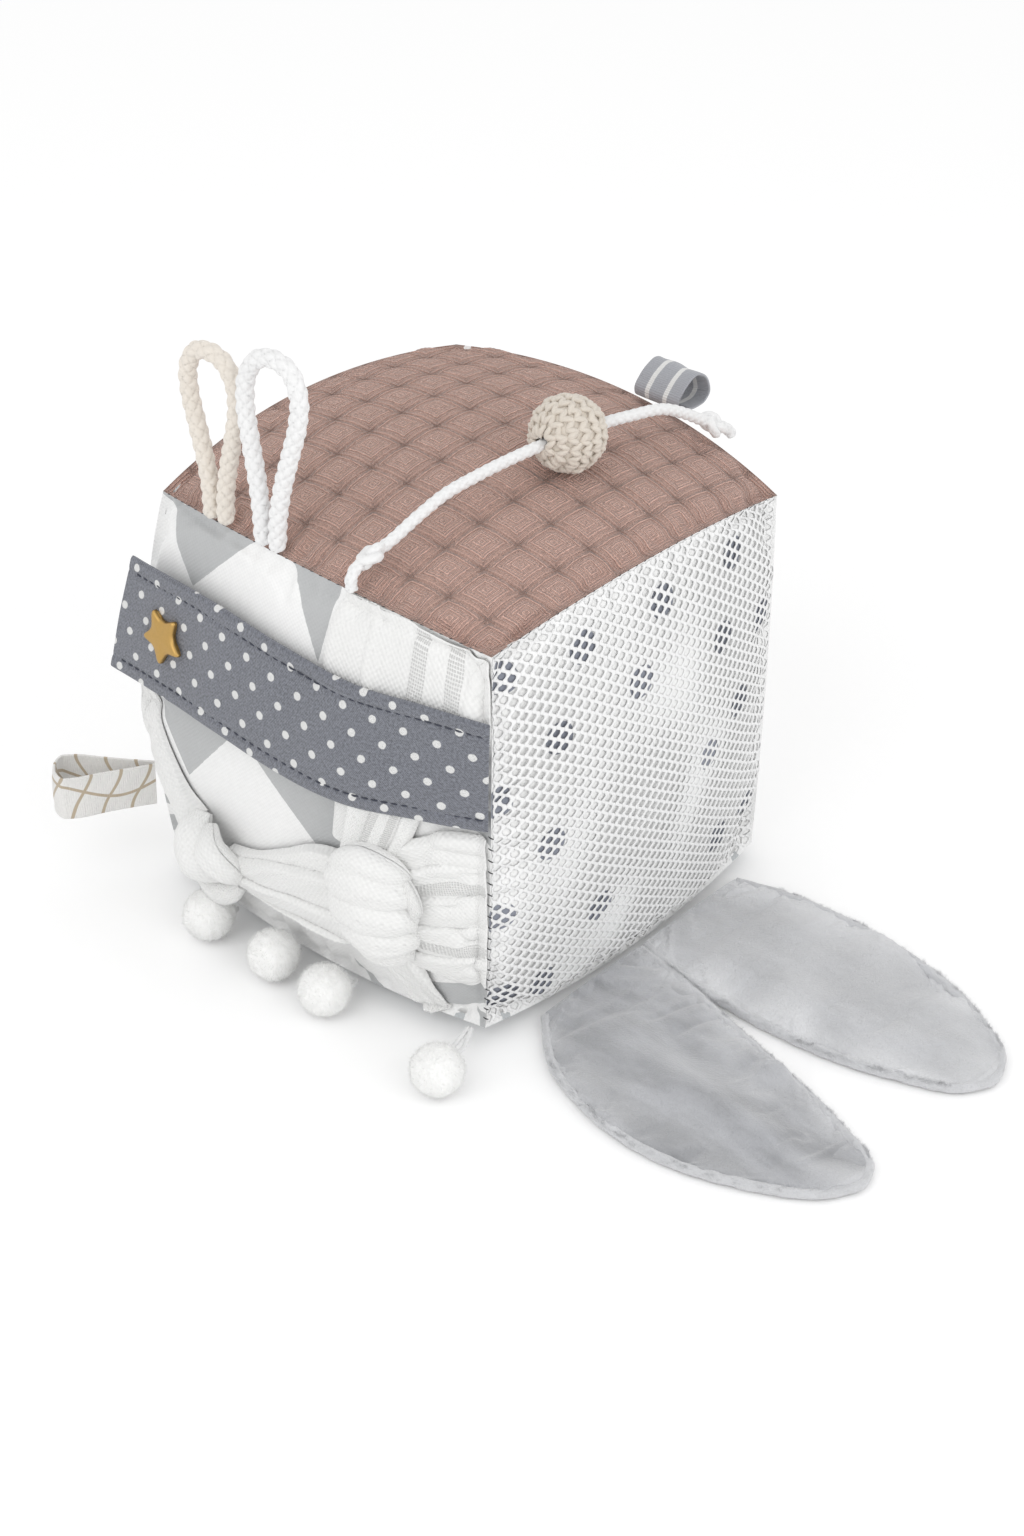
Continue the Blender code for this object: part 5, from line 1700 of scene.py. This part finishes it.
def muslin_cloth():
    """White gauze: a crinkled open weave with stripes of drawn-thread holes along it, the holes painted grey
    as painted shade.
    """
    made, tree, shader, cloth = start_material("muslin_gauze", 0.93, 0.2)
    parts = node(tree, "SeparateXYZ", cloth)
    weave = weave_height(tree, cloth, MUSLIN_WEAVE)
    crinkle = noise(tree, stretched(tree, cloth, (1.0, 0.35, 1.0)), MUSLIN_CRINKLE, 4.0)
    slub = noise(tree, cloth, MUSLIN_SLUB, 4.0)
    opened = within(tree, attribute(tree, "openwork"), OPEN_WIDTH / 2, OPEN_EDGE)
    wobble = math_node(tree, "MULTIPLY_ADD", slub, 0.0004, parts.outputs[0])
    x = sines(tree, wobble, OPEN_HOLE)
    y = sines(tree, parts.outputs[1], OPEN_HOLE / 0.8)
    holes = stepped(tree, math_node(tree, "ABSOLUTE", math_node(tree, "MULTIPLY", x, y)), 0.42, 0.72)
    holes = math_node(tree, "MULTIPLY", holes, opened)
    worn = math_node(tree, "MULTIPLY_ADD", weave, 0.30, math_node(tree, "MULTIPLY", slub, 0.70))
    base = mixed(tree, worn, rgba(MUSLIN_WHITE, 0.86), rgba(MUSLIN_WHITE, 1.03))
    # Painted shade: the holes are painted grey for the shaded cloth seen through them.
    painted = mixed(tree, math_node(tree, "MULTIPLY", holes, 0.75), base, rgba(HOLE_SHADE_GREY))
    tree.links.new(painted, shader.inputs["Base Color"])
    height = math_node(tree, "MULTIPLY_ADD", weave, 0.45, math_node(tree, "MULTIPLY", crinkle, 1.6))
    height = math_node(tree, "MULTIPLY_ADD", holes, -0.6, height)
    set_bump(tree, shader, height, MUSLIN_BUMP)
    return made


def make_muslin_band(name, shape, material):
    """A pleated band of muslin that lies over the front, along its middle line."""
    at = np.linspace(0, 1, len(shape["route"]))
    rows, depths, bulges = (np.column_stack([at, shape[key]]) for key in ("route", "depth", "bulge"))

    def place_at(t, s):
        t, s = np.broadcast_arrays(np.clip(t, 0, 1), s)
        middle = smooth(rows, t)
        ahead = smooth(rows, np.minimum(t + 0.01, 1)) - smooth(rows, np.maximum(t - 0.01, 0))
        run = np.hypot(ahead[..., 0], ahead[..., 1])
        sway = 1 + 0.03 * waves(t * 2, s * 0, 131)
        out = middle[..., 2] * s * sway / run
        u = np.clip(middle[..., 0] + ahead[..., 1] * out, -1, 1)
        v = np.clip(middle[..., 1] - ahead[..., 0] * out, -1, 1)
        phase = shape["folds"] * (s + shape["start"]) + shape["twist"] * t + 0.10 * waves(s * 2, t * 1.4, 132)
        share = phase % 1
        sharp = share**0.7 * np.clip((1 - share) / FOLD_EDGE, 0, 1) ** 0.6
        dome = np.sqrt(np.maximum(0, 1 - (2 * s) ** 2))
        rim = np.clip((0.5 - np.abs(s)) / FOLD_RIM, 0, 1)
        lift = MUSLIN_LIFT + (smooth(depths, t) * sharp + smooth(bulges, t) * dome) * rim
        lift = lift + 0.00015 * waves(s * 5, t * 4, 133) * rim
        return lifted("front", u, v, np.maximum(lift, MUSLIN_LIFT))

    points, faces, t, s = band(place_at, *MUSLIN_CELLS, MUSLIN, edge=0.012, end=0.006)
    width, length = shape["flat"]
    cloth = np.stack([s * width, t * length, np.zeros_like(t)], axis=-1)
    openwork = [np.full_like(s, NO_OPENWORK)] + [np.abs(s - place) * width for place in shape["open"]]
    piece = make_piece(
        "muslin_cloth_" + name, points, faces, "block", material, "muslin", ["muslin_" + name], cloth=cloth,
        openwork=np.min(openwork, axis=0),
    )


def make_muslin_knot(name, place, rolls, material):
    """A tied knot: fat rolls of folded muslin that cross over each other."""
    u, v = np.array([place[0]]), np.array([place[1]])
    foot = surface("front", u, v)[0]
    out = lifted("front", u, v, np.array([1.0]))[0] - foot
    side = unit(np.cross((0.0, 0.0, 1.0), out))
    upper = np.cross(out, side)
    parts = []
    for number, (route, flat, folds) in enumerate(rolls):
        rows = np.array(route, float) / 1000
        fine = along(rows, 90)
        run = np.linspace(0, 1, len(fine))
        places = lengths_along(rows[:, :3])
        ends = 0.35 + 0.65 * np.sin(math.pi * (0.06 + 0.88 * run)) ** 0.5
        radii = np.interp(run, places / places[-1], rows[:, 3]) * ends
        path = foot + fine[:, :1] * side + fine[:, 1:2] * upper + fine[:, 2:3] * out

        def relief(angle, at, number=number, folds=folds):
            drift = 60 * at + 0.6 * np.sin(2.3 * angle + number)
            crease = np.abs(np.sin(folds * angle / 2 + drift))
            soft = waves(np.cos(angle) * 1.2 + at * 60, np.sin(angle) * 1.2, 150 + number)
            return FOLD_RELIEF * (crease**0.6 - 0.7 + 0.35 * soft)

        points, faces, cloth = tube(path, radii, 90, relief, flat=flat, up=tuple(out))
        around = np.arctan2(cloth[:, 1], cloth[:, 0]) * 0.006
        parts.append((points, faces, np.stack([around, cloth[:, 2], np.zeros(len(cloth))], axis=-1)))
    points, faces, cloth = join(parts)
    knot = make_piece(
        "muslin_lump_" + name, points, faces, "block", material, "muslin", ["muslin_knot_" + name],
        cloth=cloth, openwork=np.full(len(points), NO_OPENWORK),
    )


def make_muslin():
    material = muslin_cloth()
    for name, shape in MUSLIN_BANDS.items():
        make_muslin_band(name, shape, material)
    make_muslin_knot("large", LARGE_KNOT_PLACE, LARGE_KNOT_ROLLS, material)
    make_muslin_knot("small", SMALL_KNOT_PLACE, SMALL_KNOT_ROLLS, material)


# Ears
EAR_LENGTH = 0.1160
EAR_HALF_WIDTH = 0.0290
EAR_LAYER = 0.0029
EAR_HEIGHT = 0.0032
EAR_HINGE_OUT = 0.0031
EAR_ROOT_TUCK = 0.0006
EAR_WIDTH_SHARES = (
    (0.0, 0.78), (0.15, 0.94), (0.35, 1.0), (0.55, 0.96), (0.70, 0.84), (0.85, 0.61), (0.95, 0.39),
    (1.0, 0.19),
)
EAR_THICKNESS_SHARES = ((0.0, 0.24), (0.12, 0.50), (0.30, 0.95), (0.80, 1.0), (1.0, 0.6))
EAR_SQUARE_ROOT_SHARE = 0.25
EAR_SWELL_POWER = 2.4
EAR_END = 0.05
EAR_TIP = 0.045
# Each ear: its place along the seam, how it slants and how it bends
EARS = {"near": (-0.33, -0.185, -0.095), "far": (0.40, -0.035, 0.015)}
EAR_CELLS = (64, 28)
EAR_POINTS = (241, 121)
EAR_LAYER_SHARES = {"plush": 1.0, "backing": -0.96}
EAR_PRESSURE = 3.0
EAR_GROWTH = 0.03
EAR_CAP = 0.0012
EAR_CREASE = 0.0017
EAR_PUCKER = 0.00025
EAR_CALM_ROOT = (0.06, 0.40)
# Painted sheen on the ears: how far in from the rim it reaches, and how much each ear has all over
EAR_PAINTED_SHEEN_REACH = 0.0080
EAR_PAINTED_SHEEN = {"near": 0.0, "far": 0.52}
EAR_FUZZ_COUNT = 6400
EAR_FUZZ = 0.0018
EAR_FUZZ_RADIUS = 0.00008
EAR_FUZZ_FROM = -0.80
# How much painted sheen the rim hairs get
EAR_FUZZ_PAINTED_SHEEN = 1.0
EAR_ROLL = 0.0014
EAR_ROLL_ENDS = (-0.99, 0.999)
EAR_ROLL_SIDE = 0.985
EAR_ROLL_POINTS = 300
# How much painted sheen the rolled edge gets
EAR_ROLL_PAINTED_SHEEN = 0.80
PLUSH_PILE = 0.0007
PLUSH_BRUSHED = 0.017
PLUSH_HAIR = 0.0011
PLUSH_BUMP = 0.0006


def plush():
    """Short silver-grey pile with brushed patches, and painted sheen: paler where it is seen side on, along
    the ears' rims and on the far ear.
    """
    made, tree, shader, cloth = start_material("minky_grey", 0.82, 0.6)
    shader.inputs["Sheen Roughness"].default_value = 0.35
    pile = noise(tree, cloth, PLUSH_PILE, 4.0)
    drawn = stretched(tree, cloth, (0.35, 1.0, 1.0))
    brushed = noise(tree, drawn, PLUSH_BRUSHED, 4.0, 0.6)
    swept = stepped(tree, brushed, 0.36, 0.66)
    base = mixed(tree, swept, rgba(PLUSH_GREY, 0.74), rgba(PLUSH_GREY, 1.55))
    # Painted sheen: pale along the ears' rims and all over the far ear, broken up by the pile.
    tips = math_node(tree, "MULTIPLY_ADD", pile, 0.5, 0.7)
    raised = math_node(tree, "MULTIPLY", attribute(tree, "nap"), tips)
    # Painted sheen: paler where the plush is seen side on.
    painted_side_sheen = node(tree, "LayerWeight", 0.35).outputs["Facing"]
    hairs = noise(tree, drawn, PLUSH_HAIR, 5.0, 0.7)
    # Painted sheen at the rims and side on, with random tone from the hairs and pile.
    for pattern, share, colour in (
        (raised, 1.0, rgba(PLUSH_SHEEN_PALE)), (hairs, 0.25, rgba(PLUSH_GREY, 1.45)),
        (pile, 0.25, rgba(PLUSH_GREY, 0.75)), (painted_side_sheen, 0.55, rgba(PLUSH_SHEEN_PALE)),
    ):
        base = mixed(tree, math_node(tree, "MULTIPLY", pattern, share), base, colour)
    tree.links.new(base, shader.inputs["Base Color"])
    set_bump(tree, shader, math_node(tree, "MULTIPLY_ADD", brushed, 1.2, pile), PLUSH_BUMP)
    return made


def ear_outline(shape, u, v):
    """Places on an ear's flat leaf, u along it and v across it from -1 to 1, and its root."""
    share, slant, bend = shape
    seam = skin(np.array([1.0, share, -1.0]))
    root = np.array([seam[0] + EAR_HINGE_OUT, seam[1], EAR_HEIGHT + GAP / 2])
    forward = unit(np.array([1.0, slant, 0.0]))
    across = np.array([-forward[1], forward[0], 0.0])
    t = (1 + u) / 2
    near_root = np.minimum(1.0, t / EAR_SQUARE_ROOT_SHARE)[..., None]
    square = near_root**2 * (3 - 2 * near_root)
    way_across = unit(np.array([0.0, 1.0, 0.0]) * (1 - square) + across * square)
    half = EAR_HALF_WIDTH * smooth(EAR_WIDTH_SHARES, t)
    curve = EAR_LENGTH * bend * 4 * t * (1 - t)
    points = root + forward * (EAR_LENGTH * t)[..., None] + across * curve[..., None]
    points = points + way_across * (half * v)[..., None]
    points[..., 0] -= EAR_ROOT_TUCK * (1 - square[..., 0])
    points[..., 2] = EAR_HEIGHT
    return points


def ear_surface(grid, u, v):
    """Points on an ear's layer, with its tip rounded."""
    points = fine_grid(grid, u, v)
    middle = fine_grid(grid, u, v * 0)
    past = np.clip(((1 + u) / 2 - (1 - EAR_TIP)) / EAR_TIP, 0, 1)
    narrow = np.sqrt(1 - 0.98 * past**2)[..., None]
    points[..., :2] = (middle + (points - middle) * narrow)[..., :2]
    return points


def ear_layers(shape):
    """An ear's two layers as grids of points, puffed up by the cloth simulation with the rim pinned."""
    rows, columns = EAR_CELLS[0] + 1, EAR_CELLS[1] + 1
    u, v = place_grid(rows, columns)
    v = np.sin(v * math.pi / 2)
    flat = ear_outline(shape, u, v)
    across = np.sqrt(np.maximum(0, 1 - np.abs(v) ** EAR_SWELL_POWER))
    swell = smooth(EAR_THICKNESS_SHARES, (1 + u) / 2) * across * np.clip((1 - u) / EAR_END, 0, 1) ** 0.5
    layers = np.stack([flat] * len(EAR_LAYER_SHARES))
    for layer, share in zip(layers, EAR_LAYER_SHARES.values()):
        layer[..., 2] += share * EAR_LAYER * swell
    rim = np.zeros((rows, columns), bool)
    rim[:, 0] = rim[:, -1] = rim[0] = rim[-1] = True
    over = np.arange(rows * columns).reshape(rows, columns)
    under = np.where(rim, over, over + rows * columns)
    quads = grid_quads(rows, columns, flip=True)
    faces = np.concatenate([over.ravel()[quads], under.ravel()[quads[:, ::-1]]]).tolist()
    move = settle(layers.reshape(-1, 3), faces, rim, EAR_PRESSURE, EAR_GROWTH, EAR_CAP)
    return layers + np.where(rim[..., None], 0.0, move.reshape(layers.shape))


def ear_relief(points, u, inward, seed):
    """The plush's creases, calm near its root, and the puckers along its rim."""
    x, y = points[..., 0] / 0.03, points[..., 1] / 0.02
    ridges = 1 - waves(x, y, 171 + seed) ** 2
    low, high = EAR_CALM_ROOT
    calm = np.clip(inward / 0.25, 0, 1) * np.clip(((1 + u) / 2 - low) / (high - low), 0, 1)
    creases = calm * EAR_CREASE * (waves(x, y, 181 + seed) - 0.5 * ridges)
    pucker = EAR_PUCKER * np.sin(points[..., 0] / 0.0013) * np.clip(1 - inward / 0.12, 0, 1)
    return creases + pucker * np.clip(inward / 0.04, 0, 1)


def ear_nap(name, points, u, v):
    """How much painted sheen the plush shows: most along the rim, in patches, and some all over the far ear.
    """
    patchy = 0.75 + 0.45 * waves(points[..., 0] / 0.02, points[..., 1] / 0.02, 221 + len(name))
    to_side = EAR_HALF_WIDTH * (1 - np.abs(np.sin(v * math.pi / 2)))
    to_rim = np.minimum(to_side, EAR_LENGTH / 2 * (1 - u))
    return EAR_PAINTED_SHEEN[name] + np.exp(-to_rim / EAR_PAINTED_SHEEN_REACH) * np.clip(patchy, 0.15, 1.2) * 0.9


def ear_hairs(grid, seed):
    """Short hairs that stand out along an ear's rim."""
    rng = np.random.default_rng(191 + seed)
    u = rng.uniform(EAR_FUZZ_FROM, 1, EAR_FUZZ_COUNT)
    v = rng.choice([-1.0, 1.0], EAR_FUZZ_COUNT) * (1 - rng.uniform(0, 0.05, EAR_FUZZ_COUNT))
    roots = ear_surface(grid, u, v)
    ways = unit(roots - ear_surface(grid, u, v * 0.8)) + (0, 0, 0.25)
    lengths = EAR_FUZZ * rng.uniform(0.4, 1.1, EAR_FUZZ_COUNT)
    return fuzz(roots, ways, lengths, EAR_FUZZ_RADIUS, 201 + seed)


def ear_roll(grid):
    """The rolled edge where an ear's two layers are sewn together."""
    low, high = EAR_ROLL_ENDS
    u = np.concatenate([np.linspace(low, high, EAR_ROLL_POINTS), np.linspace(high, low, EAR_ROLL_POINTS)])
    path = ear_surface(grid, u, np.repeat([-EAR_ROLL_SIDE, EAR_ROLL_SIDE], EAR_ROLL_POINTS))
    path[:, 2] = EAR_HEIGHT - EAR_ROLL * 0.65
    return tube(path, EAR_ROLL, 14, lambda angle, run: 0.00012 * waves(run / 0.006, angle, 231), flat=1.15)


def make_ear(name, shape, material):
    """A padded ear of two plush layers, sewn together at the rim."""
    u, v = place_grid(*EAR_POINTS)
    inward = np.clip(1 - np.maximum(np.abs(v), np.abs(u)), 0, 1)
    for layer, grid in zip(EAR_LAYER_SHARES, ear_layers(shape)):
        upper = layer == "plush"
        points = ear_surface(grid, u, v)
        if upper:
            points[..., 2] += ear_relief(points, u, inward, len(name))
        floored(points)
        cloth = np.stack([points[..., 0], points[..., 1], np.full_like(u, 0.01 if upper else -0.01)], axis=-1)
        # Painted sheen, pale along the rim and on the far ear, for the plush's material.
        nap = ear_nap(name, points, u, v).ravel()
        trim = ear_hairs(grid, len(name)) if upper else ear_roll(grid)
        nap = np.concatenate([nap, np.full(len(trim[0]), EAR_FUZZ_PAINTED_SHEEN if upper else EAR_ROLL_PAINTED_SHEEN)])
        points, faces, cloth = join([(points, grid_quads(*EAR_POINTS, flip=upper), cloth), trim])
        piece = make_piece(
            f"{name}_ear_{layer}", points, faces, f"{name}_ear", material,
            "plush" if upper else "plush_backing", [f"ear_{name}_{layer}"], cloth=cloth, nap=nap,
        )


def make_ears():
    """The two plush ears in the bottom right seam."""
    material = plush()
    for name, shape in EARS.items():
        make_ear(name, shape, material)


# Stitches where the panels are sewn together: from one place on the cube to another, then each
# stitch's length, the gap after it, its radius, its turn, and how far it sinks in
SEAM_STITCHES = (
    ((1, -1, -0.95), (1, -1, 0.15), 0.0019, 0.0020, 0.00022, 1.0, 0.0001),
    ((-0.97, -1, 1), (0.97, -1, 1), 0.0011, 0.0022, 0.00013, 0.2, 0.0006),
    ((1, -0.97, 1), (1, 0.97, 1), 0.0010, 0.0026, 0.00012, 0.2, 0.0006),
)
SEAM_POINTS = 260


def make_seam_threads():
    """The dark stitches that show where the panels are sewn together."""
    parts = []
    for start, end, length, gap, radius, turn, sink in SEAM_STITCHES:
        places = np.linspace(np.array(start, float), np.array(end, float), SEAM_POINTS)
        way = outward(places)
        parts.append(stitches(skin(places) - way * sink, way, length, gap, radius, turn))
    points, faces, cloth = join(parts)
    dark = yarn("thread_seam", SEAM_DARK, fibre=0.0002)
    make_piece("seam_threads", points, faces, "block", dark, "print_white", cloth=cloth)


def dress_hardware():
    """Better materials for the snap and the bead's core, which keep their CAD shapes."""
    steel = metal("snap_steel", STEEL, 0.34)
    wood = yarn("bead_wood_grain", WOOD, fibre=0.0012, depth=0.00005, roughness=0.6, sheen=0.0, mottling=0.3)
    for name, material in (("snap_socket", steel), ("snap_stud", steel), ("bead_core", wood)):
        mesh = bpy.data.objects[name].data
        mesh.materials.clear()
        mesh.materials.append(material)


make_stuffing()
make_cover()
make_net()
make_strap()
make_cord_loop("beige", BEIGE, BEIGE_LOOP)
make_cord_loop("white", CORD_WHITE, WHITE_LOOP)
make_bead_cord()
make_bead()
make_tags()
make_pompoms()
make_muslin()
make_ears()
make_seam_threads()
dress_hardware()
